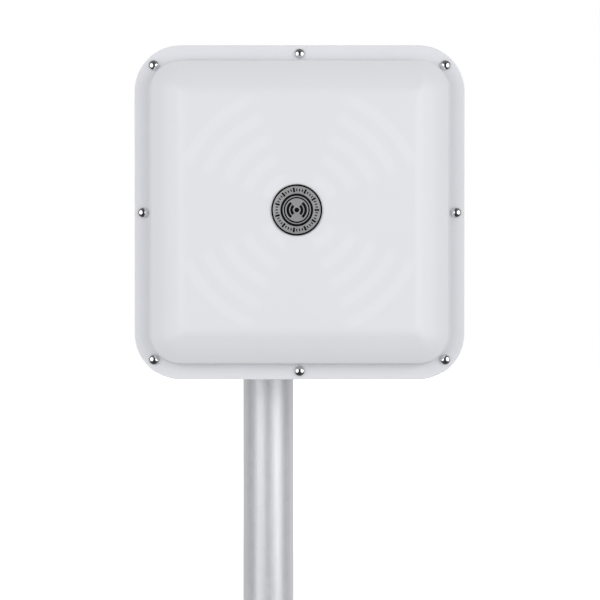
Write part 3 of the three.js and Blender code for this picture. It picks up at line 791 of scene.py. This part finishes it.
def swept(path, radius, columns=20, chamfer=0.0):
    """A round bar along a line of points, its ends chamfered."""
    points = [Vector(p) for p in path]
    if chamfer:
        first = points[0] + (points[1] - points[0]).normalized() * chamfer
        last = points[-1] + (points[-2] - points[-1]).normalized() * chamfer
        points = [points[0], first, *points[1:-1], last, points[-1]]
    ahead = (points[1] - points[0]).normalized()
    side = ahead.orthogonal().normalized()
    rings = []
    for i, point in enumerate(points):
        before = (point - points[i - 1]).normalized() if i else ahead
        after = (points[i + 1] - point).normalized() if i + 1 < len(points) else before
        along = (before + after).normalized()
        side = (side - along * side.dot(along)).normalized()
        up = along.cross(side)
        size = radius - (chamfer if i in (0, len(points) - 1) else 0)
        turns = [TAU * k / columns for k in range(columns)]
        rings.append([tuple(point + (side * math.cos(a) + up * math.sin(a)) * size) for a in turns])
    return new_mesh(*skin(rings))


# ---------------- mast
def mast_pipe():
    """A galvanised pipe with the cut at each end broken by a file."""
    outer, inner, top = MAST_RADIUS / MM, (MAST_RADIUS - MAST_WALL) / MM, mast_high.z / MM
    profile = [
        (inner + 0.3, 0), (outer - 0.4, 0), (outer, 0.4),
        *[(outer, top * k / 8) for k in range(1, 8)], (outer, top - 0.4), (outer - 0.4, top),
        (inner + 0.3, top), (inner, top - 0.3), (inner, 0.3), (inner + 0.3, 0),
    ]
    mesh = turned(profile, [(0, 0, 0)], Z, "galvanised", columns=128)
    piece("mast_pipe", mesh, "mast", ["mast_tube"])


def mast_end_cap():
    """A push-in plastic cap: a low dome with a stepped rim over a hollow spigot."""
    rim, tall = MAST_RADIUS / MM, 4.6
    spigot = rim - MAST_WALL / MM - 0.4
    dome = rounded([(0, tall), (rim - 7, 4.35), (rim - 1.6, 3.4, 3), (rim, 1.9, 0.8), (rim, 0)], step=8)
    profile = [
        *dome, (rim - 0.3, 0), (spigot, 0), (spigot, -15.2), (spigot - 0.8, -16),
        (spigot - 2, -16), (spigot - 2, -2), (0, -2),
    ]
    seat = Vector((0, 0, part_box("mast_cap")[1].z - tall * MM))
    mesh = turned(profile, [seat], Z, "black_plastic", columns=96)
    piece("mast_end_cap", mesh, "mast", ["mast_cap"], 24)


# ---------------- fasteners
# In millimetres: half the width across the hexagon's flats, radii of the thread, its hole and the
# nut's flange, the thread's pitch, and heights of head and nut.
M5 = {"flats": 4, "thread": 2.45, "pitch": 0.8, "hole": 2.75}
M6 = {"flats": 5, "thread": 2.95, "pitch": 1.0, "hole": 3.3, "head": 4, "nut": 6, "flange": 7.1}
M8 = {"flats": 6.5, "thread": 3.95, "pitch": 1.25, "hole": 4.3, "head": 5.3, "nut": 8, "flange": 8.95}
THREAD_DEPTH = 0.6  # as a part of the pitch


def thread_of(size):
    """Radius, depth and pitch of a size's thread."""
    return (size["thread"], size["pitch"] * THREAD_DEPTH, size["pitch"])


def corner_of(flats):
    """From a hexagon's middle to its corner."""
    return flats / math.cos(math.pi / 6)


def flange_nuts(size, places, out, seed):
    """Hexagon nuts, each on its own flange, standing along out from their places."""
    corner, flats, thread = corner_of(size["flats"]), size["flats"], size["thread"]
    height, flange = size["nut"], size["flange"]
    profile = [
        (thread - 0.3, 0.5), (thread + 0.3, 0), (flange - 0.4, 0), (flange, 0.35),
        (flange - 0.05, 0.9), (flange - 0.5, 1.25), (flats + 0.5, 2.5), (corner, 2.6),
        (corner, height - 0.75), (flats - 0.2, height), (thread + 0.55, height),
        (thread - 0.3, height - 0.8), (thread - 0.3, 0.5),
    ]
    return turned(profile, places, out, "zinc", 60, (flats, 1.26), spin=TAU / 2, seed=seed)


def hexagon_bolts(size, length, places, out, seed):
    """Hexagon bolts whose heads stand along out and whose threads run back behind them."""
    corner, flats, thread = corner_of(size["flats"]), size["flats"], size["thread"]
    head, smooth = size["head"], length * 0.3
    profile = [
        (0, head - 0.25), (flats - 2.2, head - 0.25), (flats - 1.9, head), (flats - 0.3, head),
        (corner, head - 0.75), (corner, 0.4), (flats - 0.2, 0.38), (flats - 0.3, 0),
        (thread - 0.05, 0), (thread - 0.05, -smooth),
        *reversed(threaded(thread, 0.6 - length, -smooth - 0.3, size["pitch"])),
        (thread - 0.6, -length), (0, -length),
    ]
    shank = thread_of(size)
    return turned(profile, places, out, "zinc", 60, (flats, 0.39), shank, spin=TAU / 2, seed=seed)


# ---------------- the clamp on the mast
CLAMP_CENTRE_Z = (clamp_low.z + clamp_high.z) / 2
CLAMP_FACE = clamp_high.y  # the bracket's face towards the mast
U_BOLT_ROD = 4 * MM
U_BOLT_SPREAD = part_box("u_bolt_upper")[1].x - U_BOLT_ROD  # from the mast's axis to each leg
PIVOT = Vector((0, middle("tilt_pivot_bolt").y, middle("tilt_pivot_bolt").z))
LOCK = Vector((0, middle("tilt_lock_bolt").y, middle("tilt_lock_bolt").z))


def clamp_plate():
    """A flat base for both U-bolts, bent at its right-hand end into the fin for the tilt bolts."""
    width, half = clamp_high.x - clamp_low.x, (clamp_high.z - clamp_low.z) / 2
    bend = Bend(width - SHEET - INNER_BEND, INNER_BEND, SHEET)
    reach = bend.flat(CLAMP_FACE - PIVOT.y)
    up, down = LOCK.z - CLAMP_CENTRE_Z, PIVOT.z - CLAMP_CENTRE_Z
    outline = rounded([
        (0, -half, 8 * MM), (bend.flat(7 * MM), 1 * MM - half, 2 * MM),
        *arc((reach, down), EAR, -118, 0), *arc((reach, up), EAR, 0, 118),
        (bend.flat(7 * MM), half - 1 * MM, 2 * MM), (0, half, 8 * MM),
    ])
    holes = [circle((reach, z), M8["hole"] * MM) for z in (up, down)]
    rows = [middle(f"u_bolt_{level}").z - CLAMP_CENTRE_Z for level in LEVELS]
    legs = [(side * U_BOLT_SPREAD - clamp_low.x, z) for side in (-1, 1) for z in rows]
    holes += [circle(leg, (M8["hole"] + 0.3) * MM) for leg in legs]
    mesh = flat_sheet([outline, *holes], SHEET, Matrix(), "zinc")
    bend.fold(mesh)
    mesh.transform(axes(Vector((clamp_low.x, CLAMP_FACE, CLAMP_CENTRE_Z)), X, Z))
    piece("clamp_plate", mesh, "mast_clamp", ["clamp_bracket"], 20)


def u_bolt(level):
    """A bent rod, threaded on both legs."""
    low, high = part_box(f"u_bolt_{level}")
    rod, centre_z = U_BOLT_ROD / MM, (low.z + high.z) / 2 / MM
    spread, tip = U_BOLT_SPREAD / MM, low.y / MM
    thread_end, straight_end = -19, -6
    bow = [(spread, straight_end), *arc((0, 0), spread, 0, 180, 4.5), (-spread, straight_end)]
    line = [(spread, thread_end + 0.3), *bow, (-spread, thread_end + 0.3)]
    path = [Vector((x, y, centre_z)) * MM for x, y in line]
    rod_mesh = painted(swept(path, (rod - 0.02) * MM, 32, 0.3 * MM), "zinc")
    length = thread_end - tip
    profile = [
        (0, length + 0.6), (rod - 0.4, length + 0.6),
        *reversed(threaded(M8["thread"], 0.7, length, M8["pitch"])), (rod - 0.75, 0), (0, 0),
    ]
    legs = [Vector((side * spread, tip, centre_z)) * MM for side in (-1, 1)]
    leg_mesh = turned(profile, legs, Y, "zinc", 40, thread=thread_of(M8))
    mesh = joined([tidy(rod_mesh), leg_mesh], 40)
    piece(f"u_bolt_rod_{level}", mesh, "mast_clamp", [f"u_bolt_{level}"])


def saddle(level):
    """A pressed channel whose two flanges grip the pipe with a toothed V."""
    low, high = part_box(f"saddle_{level}")
    sheet, half_width = 2.5 * MM, high.x
    bend = Bend((high.z - low.z) / 2 - sheet - 1 * MM, 1 * MM, sheet)
    lean = math.radians(40)
    tip = MAST_RADIUS + 0.35 * MM
    tooth_pitch, tooth_depth = 3 * MM, 1.5 * MM

    def on_flank(along, depth):
        """A point of the V: its height over the web's back, and how far out it is."""
        x = depth * math.sin(lean) + along * math.cos(lean)
        y = along * math.sin(lean) - depth * math.cos(lean)
        return (y - low.y, x)

    teeth = []
    for k in range(-3, 4):
        along = k * tooth_pitch
        teeth += [on_flank(along - tooth_pitch / 2, tip + tooth_depth), on_flank(along, tip)]
    shoulder = [(5 * MM, half_width), (-12 * MM - low.y, 30 * MM)]
    flank = shoulder + teeth[::-1]
    edge = [(bend.flat(height), x) for height, x in flank + [(h, -x) for h, x in flank[::-1]]]
    outline = edge + [(-height, x) for height, x in edge[::-1]]
    holes = [circle((0, side * U_BOLT_SPREAD), (M8["hole"] + 0.1) * MM) for side in (-1, 1)]
    mesh = flat_sheet([outline, *holes], sheet, Matrix(), "zinc", 0.15 * MM)
    bend.fold(mesh, both_ends=True)
    mesh.transform(axes(Vector((0, low.y, (low.z + high.z) / 2)), Z, X))
    piece(f"saddle_channel_{level}", mesh, "mast_clamp", [f"saddle_{level}"], 20)


def clamp_fasteners():
    """The U-bolts' four nuts, and the two tilt bolts with theirs."""
    names = [f"u_bolt_nut_{level}_{side}" for level in LEVELS for side in SIDES]
    mesh = flange_nuts(M8, seats(names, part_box(names[0])[1].y), -Y, 3)
    piece("u_bolt_nuts", mesh, "mast_clamp", names)

    bolts = ["tilt_pivot_bolt", "tilt_lock_bolt"]
    seat_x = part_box(bolts[0])[1].x - M8["head"] * MM
    places = [Vector((seat_x, middle(name).y, middle(name).z)) for name in bolts]
    mesh = hexagon_bolts(M8, 22, places, X, 5)
    piece("tilt_bolts", mesh, "mast_clamp", bolts)

    nuts = ["tilt_pivot_nut", "tilt_lock_nut"]
    places = [Vector((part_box(name)[1].x, middle(name).y, middle(name).z)) for name in nuts]
    mesh = flange_nuts(M8, places, -X, 7)
    piece("tilt_nuts", mesh, "mast_clamp", nuts)


# ---------------- the bracket on the panel
def tilt_plate():
    """A base bolted to the panel, bent into a fin with the pivot's eye and the curved slot above it."""
    low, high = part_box("tilt_bracket")
    width, half = high.x - low.x, (high.z - low.z) / 2
    bend = Bend(width - SHEET - INNER_BEND, INNER_BEND, SHEET)
    eye = (bend.flat(PIVOT.y - low.y), PIVOT.z - PANEL_CENTRE.z)
    swing = LOCK.z - PIVOT.z  # radius of the slot
    outline = rounded([
        (0, -half, 6 * MM), (bend.flat(12 * MM), 2 * MM - half, 3 * MM),
        (eye[0] - 4 * MM, eye[1] - EAR), *arc(eye, EAR, -103, 5),
        *arc(eye, swing + 12 * MM, 61, 107), (bend.flat(12 * MM), half - 2 * MM, 3 * MM),
        (0, half, 6 * MM),
    ])
    limit = TILT_LIMIT + 0.8
    clear = M8["hole"] * MM
    ends = [90 + limit, 90 - limit]
    centres = [arc(eye, swing, end, end + 1)[0] for end in ends]
    slot = [
        *arc(eye, swing + clear, ends[1], ends[0], 3),
        *arc(centres[0], clear, ends[0], ends[0] + 180, 20)[1:-1],
        *arc(eye, swing - clear, ends[0], ends[1], 3),
        *arc(centres[1], clear, ends[1] + 180, ends[1] + 360, 20)[1:-1],
    ]
    bolts = [middle(name) for name in numbered("bracket_bolt", 4)]
    hole = M6["hole"] * MM
    holes = [circle((bolt.x - low.x, bolt.z - PANEL_CENTRE.z), hole) for bolt in bolts]
    loops = [outline, slot, circle(eye, clear), *holes]
    # Its drawing's up is -Z, so that it folds towards +Y.
    upside_down = [[(x, -z) for x, z in loop] for loop in loops]
    mesh = flat_sheet(upside_down, SHEET, Matrix(), "zinc")
    bend.fold(mesh)
    mesh.transform(axes(Vector((low.x, low.y, PANEL_CENTRE.z)), X, -Z))

    step = 5
    count, start = 2 * TILT_LIMIT // step + 1, math.radians(90 - TILT_LIMIT)
    sizes = {"Radius": swing + 8.6 * MM, "Length": 3.6 * MM, "Width": 0.5 * MM, "Height": 0.08 * MM}
    marks = dial_marks(count, Start=start, Step=math.radians(step), **sizes)
    marks.transform(axes(Vector((high.x, PIVOT.y, PIVOT.z)), Y, Z))
    mesh = joined([tidy(mesh), marks], 20)
    piece("tilt_plate", mesh, "antenna", ["tilt_bracket"])


# ---------------- the panel
CORNER_STEPS, SIDE_STEPS = 16, 112  # round each corner, and along each side
SOCKET_BARREL, SOCKET_BORE, SOCKET_REACH = 7.9, 4.1, 24  # radii, and length behind the plate, in mm


def panel_ring(inset, depth, least=5 * MM):
    """Points round the panel, set in from its edge. Its corners never get sharper than least."""
    radius = max(PANEL_CORNER - inset, least)
    half_x = PANEL_WIDTH / 2 - inset - radius
    half_y = PANEL_HEIGHT / 2 - inset - radius
    ring = []
    corners = [(1, 1), (-1, 1), (-1, -1), (1, -1)]
    for quarter, (sx, sy) in enumerate(corners):
        start = 90 * quarter
        bend = arc((sx * half_x, sy * half_y), radius, start, start + 90, 90 / CORNER_STEPS)
        nx, ny = corners[(quarter + 1) % 4]
        last = Vector(bend[-1])
        side = Vector((nx * half_x - sx * half_x, ny * half_y - sy * half_y))
        ring += bend + [tuple(last + side * (k / SIDE_STEPS)) for k in range(1, SIDE_STEPS)]
    return [(x, y, depth) for x, y in ring]


def filled(ring, first):
    """A square grid of points and faces inside a ring.

    The grid's four sides run from the middle of one corner to the middle of the next.
    """
    side = len(ring) // 4
    start = CORNER_STEPS // 2
    edge = [Vector(ring[(start + k) % len(ring)]) for k in range(len(ring))]
    top = edge[: side + 1]
    left = edge[side : 2 * side + 1]
    bottom = edge[2 * side : 3 * side + 1][::-1]
    right = (edge[3 * side :] + edge[:1])[::-1]
    points, names = [], {}
    for i in range(side + 1):
        for j in range(side + 1):
            on_edge = {0: i, side: 3 * side - i}.get(j)
            if i == 0 and j:
                on_edge = (4 * side - j) % (4 * side)
            if i == side and j:
                on_edge = side + j
            if on_edge is not None:
                names[i, j] = first - len(ring) + (start + on_edge) % len(ring)
                continue
            u, v = i / side, j / side
            across = top[i] * (1 - v) + bottom[i] * v
            down = right[j] * (1 - u) + left[j] * u
            upper = top[0] * (1 - u) + top[side] * u
            lower = bottom[0] * (1 - u) + bottom[side] * u
            names[i, j] = first + len(points)
            points.append(tuple(across + down - (upper * (1 - v) + lower * v)))
    faces = [
        (names[i, j], names[i + 1, j], names[i + 1, j + 1], names[i, j + 1])
        for i in range(side)
        for j in range(side)
    ]
    return points, faces


def radome_shell():
    """The formed cover: flange, steep wall, sloped shoulder and flat face with faint raised arcs."""
    flange_back = PLATE_BACK - gasket_low.y + 0.2 * MM
    wall, flange, rise = 3 * MM, 14 * MM, 32.5 * MM  # thickness, flange's width, height inside
    on_face = 56 * MM
    # Each point is its distance in from the panel's edge, its height and the radius of its fillet.
    outside = rounded([
        (0, 0), (0, wall, 0.8 * MM), (flange, wall, 1.2 * MM), (15 * MM, wall + 15 * MM, 4 * MM),
        (27.5 * MM, wall + 24.3 * MM, 60 * MM), (43.5 * MM, wall + rise, 22 * MM),
        (on_face, wall + rise),
    ], step=5)
    inside = rounded([
        (16.8 * MM, 0), (18.2 * MM, 15.5 * MM, 3 * MM), (44.8 * MM, rise, 20 * MM), (on_face, rise),
    ], step=15)
    points, faces = [], []
    ends = []
    for line in (outside, inside):
        rings = [panel_ring(inset, flange_back + height) for inset, height in line]
        first = len(points)
        ring_points, ring_faces = skin(rings, close_ends=False)
        points += ring_points
        faces += [tuple(first + k for k in face) for face in ring_faces]
        ends.append(first)
        more_points, more_faces = filled(rings[-1], len(points))
        points += more_points
        faces += more_faces
    count = len(rings[0])
    for k in range(count):
        n = (k + 1) % count
        faces.append((ends[0] + k, ends[0] + n, ends[1] + n, ends[1] + k))
    mesh = new_mesh(points, faces)
    mesh.transform(panel_place(0))
    tidy(mesh)
    mesh = RAISED_ARCS.shape(
        mesh,
        Centre=tuple(PANEL_CENTRE),
        First_Ring=ARC_FIRST,
        Last_Ring=ARC_LAST,
        Ring_Pitch=ARC_PITCH,
        Half_Sector=ARC_HALF_SECTOR,
        Relief=0.12 * MM,
        Face_From=radome_low.y + 0.05 * MM,
        Material=FINISH["radome"],
    )
    piece("radome_shell", mesh, "antenna", ["radome"])


def round_panel(inset):
    """The panel's outline as a flat loop of points."""
    return rounded([
        (sx * (PANEL_WIDTH / 2 - inset), sy * (PANEL_HEIGHT / 2 - inset), PANEL_CORNER - inset)
        for sx, sy in ((1, -1), (1, 1), (-1, 1), (-1, -1))
    ], step=5)


def gasket_frame():
    """A rubber frame between the plate and the flange."""
    depth = PLATE_BACK - gasket_high.y
    thickness = gasket_high.y - gasket_low.y
    loops = [round_panel(1.5 * MM), round_panel(13 * MM)]
    mesh = flat_sheet(loops, thickness, panel_place(depth), "rubber", 0.3 * MM)
    piece("gasket_frame", mesh, "antenna", ["radome_gasket"], 20)


def reflector_plate():
    """The aluminium back plate, drilled for the screws, the bracket and the two sockets."""
    thickness = plate_high.y - plate_low.y
    loops = [round_panel(0.8 * MM)]
    drilled = [(name, M5["hole"]) for name in numbered("radome_screw", 8)]
    drilled += [(name, M6["hole"]) for name in numbered("bracket_bolt", 4)]
    drilled += [(f"antenna_jack_{side}", SOCKET_BARREL + 0.3) for side in SIDES]
    for name, radius in drilled:
        spot = middle(name) - PANEL_CENTRE
        loops.append(circle((spot.x, spot.z), radius * MM))
    mesh = flat_sheet(loops, thickness, panel_place(0), "aluminium", 0.2 * MM)
    piece("reflector_plate", mesh, "antenna", ["back_plate"], 20)


def radome_screws():
    """Eight domed stainless screws and the locking nuts behind the plate."""
    screws, nuts = numbered("radome_screw", 8), numbered("radome_nut", 8)
    low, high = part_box(screws[0])
    head, tall = 4.75, 3.3
    seat = low.y + tall * MM
    rim, steps = 0.5, 14
    turns = [math.pi / 2 * k / steps for k in range(steps)]
    dome = [(head * math.cos(a), rim + (tall - rim) * math.sin(a)) for a in turns]
    length = (high.y - low.y) / MM - tall
    profile = [
        (0, tall), *reversed(dome), (head - 0.15, 0.1), (head - 0.4, 0), (M5["thread"], 0),
        (M5["thread"] - 0.05, -0.3), (M5["thread"] - 0.05, -9),
        *reversed(threaded(M5["thread"], 0.5 - length, -9.2, M5["pitch"])),
        (M5["thread"] - 0.5, -length), (0, -length),
    ]
    places = seats(screws, seat)
    mesh = turned(profile, places, -Y, "polished_steel", 48, thread=thread_of(M5), spin=TAU, seed=11)
    piece("radome_screws", mesh, "antenna", screws)

    corner, flats, thread = corner_of(M5["flats"]), M5["flats"], M5["thread"]
    profile = [
        (thread - 0.2, 0.4), (thread + 0.3, 0), (flats - 0.2, 0), (corner, 0.5), (corner, 2.9),
        (flats - 0.35, 3.35), (flats - 0.55, 3.5), (flats - 0.6, 4.3), (flats - 0.75, 4.75),
        (flats - 1.15, 5), (thread + 0.45, 4.9), (thread + 0.4, 4.5), (thread - 0.2, 4.4),
        (thread - 0.2, 0.4),
    ]
    ring = [(thread - 0.15, 4.3), (thread + 0.42, 4.3), (thread + 0.42, 4.75), (thread - 0.15, 4.6)]
    places = seats(screws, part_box(nuts[0])[0].y)
    steel = turned(profile, places, Y, "zinc", 48, (flats, -1), spin=TAU / 2, seed=13)
    rings = turned(ring + ring[:1], places, Y, "nylon", 32)
    piece("radome_lock_nuts", joined([steel, rings]), "antenna", nuts)


def bracket_fasteners():
    """The four bolts that hold the tilt bracket, their heads inside the panel, and their nuts."""
    names = numbered("bracket_bolt", 4)
    seat_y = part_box(names[0])[0].y + M6["head"] * MM
    mesh = hexagon_bolts(M6, 14, seats(names, seat_y), -Y, 17)
    piece("bracket_bolts", mesh, "antenna", names)
    names = numbered("bracket_nut", 4)
    mesh = flange_nuts(M6, seats(names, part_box(names[0])[0].y), Y, 19)
    piece("bracket_nuts", mesh, "antenna", names)


def sockets():
    """Two threaded coaxial sockets, each with its insulator, its contact and its nut."""
    barrel, bore, mouth = SOCKET_BARREL, SOCKET_BORE, SOCKET_REACH
    floor = mouth - 10  # of the bore
    pitch = 25.4 / 24  # 24 threads to the inch
    for side in SIDES:
        name = f"antenna_jack_{side}"
        place = seats([name], PLATE_BACK)
        profile = [
            (0, -5.6), (3.8, -5.6), (4, -5.4), (4, -4.5), (9.7, -4.4), (10, -4.1), (10, -2.2),
            (barrel - 0.5, -2.2), (barrel - 0.5, 2.5), *threaded(barrel, 3.2, mouth - 1.6, pitch),
            (barrel - 0.7, mouth - 1.2), (barrel - 0.7, mouth - 0.2), (barrel - 0.9, mouth),
            (bore + 1.4, mouth), (bore + 1.2, mouth - 0.2), (bore + 1.2, mouth - 1.6),
            (bore, mouth - 2), (bore, floor), (0, floor),
        ]
        shell = turned(profile, place, Y, "nickel", 64, thread=(barrel, 0.55, pitch))
        wide = bore - 0.05
        insulator = [(0, 0.1), (wide, 0.1), (wide, 0.9), (2.6, 0.9), (2.6, 0.5), (0, 0.5)]
        insulator = turned([(r, h + floor) for r, h in insulator], place, Y, "insulator", 48)
        contact = [
            (0, 0.3), (1.5, 0.3), (1.6, 4.7), (1.45, 5), (0.95, 5), (0.8, 4.8), (0.8, 1.5), (0, 1.5),
        ]
        contact = turned([(r, h + floor) for r, h in contact], place, Y, "gold", 32)
        piece(f"socket_{side}", joined([shell, insulator, contact]), "antenna", [name])

    names = [f"jack_nut_{side}" for side in SIDES]
    flats, inner, chamfer = 9.5, 7.5, 0.6
    corner, thick = corner_of(flats), 3
    profile = [
        (inner, 0.5), (inner + chamfer, 0), (flats - 0.3, 0), (corner, chamfer),
        (corner, thick - chamfer), (flats - 0.3, thick), (inner + chamfer, thick),
        (inner, thick - 0.5), (inner, 0.5),
    ]
    places = seats(names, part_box(names[0])[0].y)
    mesh = turned(profile, places, Y, "nickel", 72, (flats, -1), spin=0.6, seed=23)
    piece("socket_nuts", mesh, "antenna", names)


def enamel_band(inner, outer, start, end, low, high):
    """A flat band of enamel along part of a ring, angles in degrees."""
    inside, outside = (arc((0, 0), radius, start, end, 3) for radius in (inner, outer))
    count = len(inside)
    edges = ((inside, low), (outside, low), (outside, high), (inside, high))
    points = [(x, y, height) for edge, height in edges for x, y in edge]
    faces = []
    for r in range(4):
        for k in range(count - 1):
            a, b = r * count + k, (r + 1) % 4 * count + k
            faces.append((a, a + 1, b + 1, b))
    if end - start < 360:
        faces += [tuple(r * count for r in range(4)), tuple(r * count + count - 1 for r in range(4))]
    return painted(tidy(new_mesh(points, faces)), "enamel")


def badge_plate():
    """A round brushed badge with a black rim, a ring of marks and a plain sign of spreading waves."""
    low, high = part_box("badge")
    rim = (high.x - low.x) / 2 / MM
    seat = seats(["badge"], high.y)[0]
    relief = 0.06  # how far the enamel stands proud
    face = (high.y - low.y) / MM - relief
    outline = rounded([(0, face), (rim, face, 0.35), (rim, 0), (0, 0)], step=15)
    disc = turned(outline, [seat], -Y, "badge", 128)
    deep, proud = (face - 0.3) * MM, (face + relief) * MM
    # Inner and outer radii, in millimetres.
    rings = [(rim - 1.9, rim - 0.4), (12.6, 14.7), (10.4, 11.7), (0, 2.1)]
    waves, spread = [(3.5, 5.9), (6.8, 9.2)], 52  # degrees each way
    bands = [enamel_band(r0 * MM, r1 * MM, 0, 360, deep, proud) for r0, r1 in rings]
    for r0, r1 in waves:
        for side in (0, 180):
            bands.append(enamel_band(r0 * MM, r1 * MM, side - spread, side + spread, deep, proud))
    count, thick = 44, 0.3 * MM
    sizes = {"Radius": 18 * MM, "Length": 4.2 * MM, "Width": 1.35 * MM, "Height": thick}
    marks = dial_marks(count, Start=0.0, Step=TAU / count, **sizes)
    marks.transform(Matrix.Translation((0, 0, proud - thick / 2)))
    drawn = joined([*bands, marks])
    drawn.transform(axes(seat, X, Z))
    piece("badge_plate", joined([disc, drawn]), "antenna", ["badge"])


def inner_parts():
    """What is sealed inside keeps its CAD shape and gets its own finish."""
    finishes = {"feed_board": "board"}
    finishes.update(dict.fromkeys(numbered("patch_radiator", 4), "aluminium"))
    finishes.update(dict.fromkeys(numbered("patch_post", 4), "nylon"))
    finishes.update({f"feed_coax_{side}": "coax_jacket" for side in SIDES})
    for name, finish in finishes.items():
        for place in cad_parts[name].material_slots:
            place.material = FINISH[finish]


# ---------------- studio
def studio_floor():
    """A plain pale floor, bright enough to run into the white background."""
    m = Finish("studio_floor")
    mottle = m.noise(3, 3)
    color = m.blend(grey(0.80), grey(0.84), mottle)
    glow = m.between(m.vector_math("LENGTH", m.place, out="Value"), 0.2, 1.1) * 0.45 + 0.55
    glow = m.blend(grey(0), grey(1), glow)
    m.surface(color, 0.7 + mottle * 0.1, Emission_Color=glow, Emission_Strength=1.0)
    half = 5.0
    corners = [(-half, -half, 0), (half, -half, 0), (half, half, 0), (-half, half, 0)]
    mesh = new_mesh(corners, [(0, 1, 2, 3)])
    mesh.materials.append(m.material)
    floor = placed("studio_floor", mesh)
    floor.visible_diffuse = floor.visible_glossy = False


def studio_air():
    """White behind the antenna, and an even light all round.

    Shiny parts see a darker room: a dark bar straight in front, dark below, and a white back wall.
    """
    world = bpy.data.worlds.new("studio_air")
    world.use_nodes = True
    t = Tree(world.node_tree)
    t.tree.nodes.clear()
    side, back, up = t.parts(t.node("ShaderNodeTexCoord", out="Generated"))
    walls = 0.16 + t.between(back, -0.15, 0.6) * 0.58
    bar = t.between(t.math("ABSOLUTE", side), 0.2, 0.08) * t.between(back, -0.5, -0.8)
    below = t.between(up, -0.15, -0.5) * t.between(back, 0.5, 0)
    room = walls * (1 - bar * 0.8) * (1 - below * 0.6)
    rays = ("Is Camera Ray", "Is Glossy Ray")
    camera, glossy = [t.node("ShaderNodeLightPath", out=ray) for ray in rays]
    even = 0.64
    strength = camera + (1 - camera) * (glossy * room + (1 - glossy) * even)
    air = t.node("ShaderNodeBackground", {"Color": (1, 1, 1, 1), "Strength": strength})
    t.node("ShaderNodeOutputWorld", {"Surface": air})
    bpy.context.scene.world = world


def softbox(name, azimuth, elevation, watts, size=1.9, distance=2.0):
    """A round soft light turned to the panel, azimuth degrees to the right of straight in front."""
    data = bpy.data.lights.new(name, "AREA")
    data.shape, data.size, data.energy = "DISK", size, watts
    light = placed(name, data)
    turn, rise = math.radians(azimuth), math.radians(elevation)
    out = Vector((math.sin(turn) * math.cos(rise), -math.cos(turn) * math.cos(rise), math.sin(rise)))
    light.location = PANEL_CENTRE + out * distance
    light.rotation_euler = out.to_track_quat("Z", "Y").to_euler()
    light.visible_camera = False


def studio():
    studio_floor()
    studio_air()
    softbox("softbox_left", -40, 2, 17.5)
    softbox("softbox_right", 43, 2, 19.5)
    softbox("softbox_rear", 160, 45, 8)
    bpy.context.scene.view_settings.view_transform = "Standard"


# ---------------- everything, in order
mast_pipe()
mast_end_cap()
clamp_plate()
for level in LEVELS:
    u_bolt(level)
    saddle(level)
clamp_fasteners()
tilt_plate()
radome_shell()
gasket_frame()
reflector_plate()
radome_screws()
bracket_fasteners()
sockets()
badge_plate()
inner_parts()
studio()
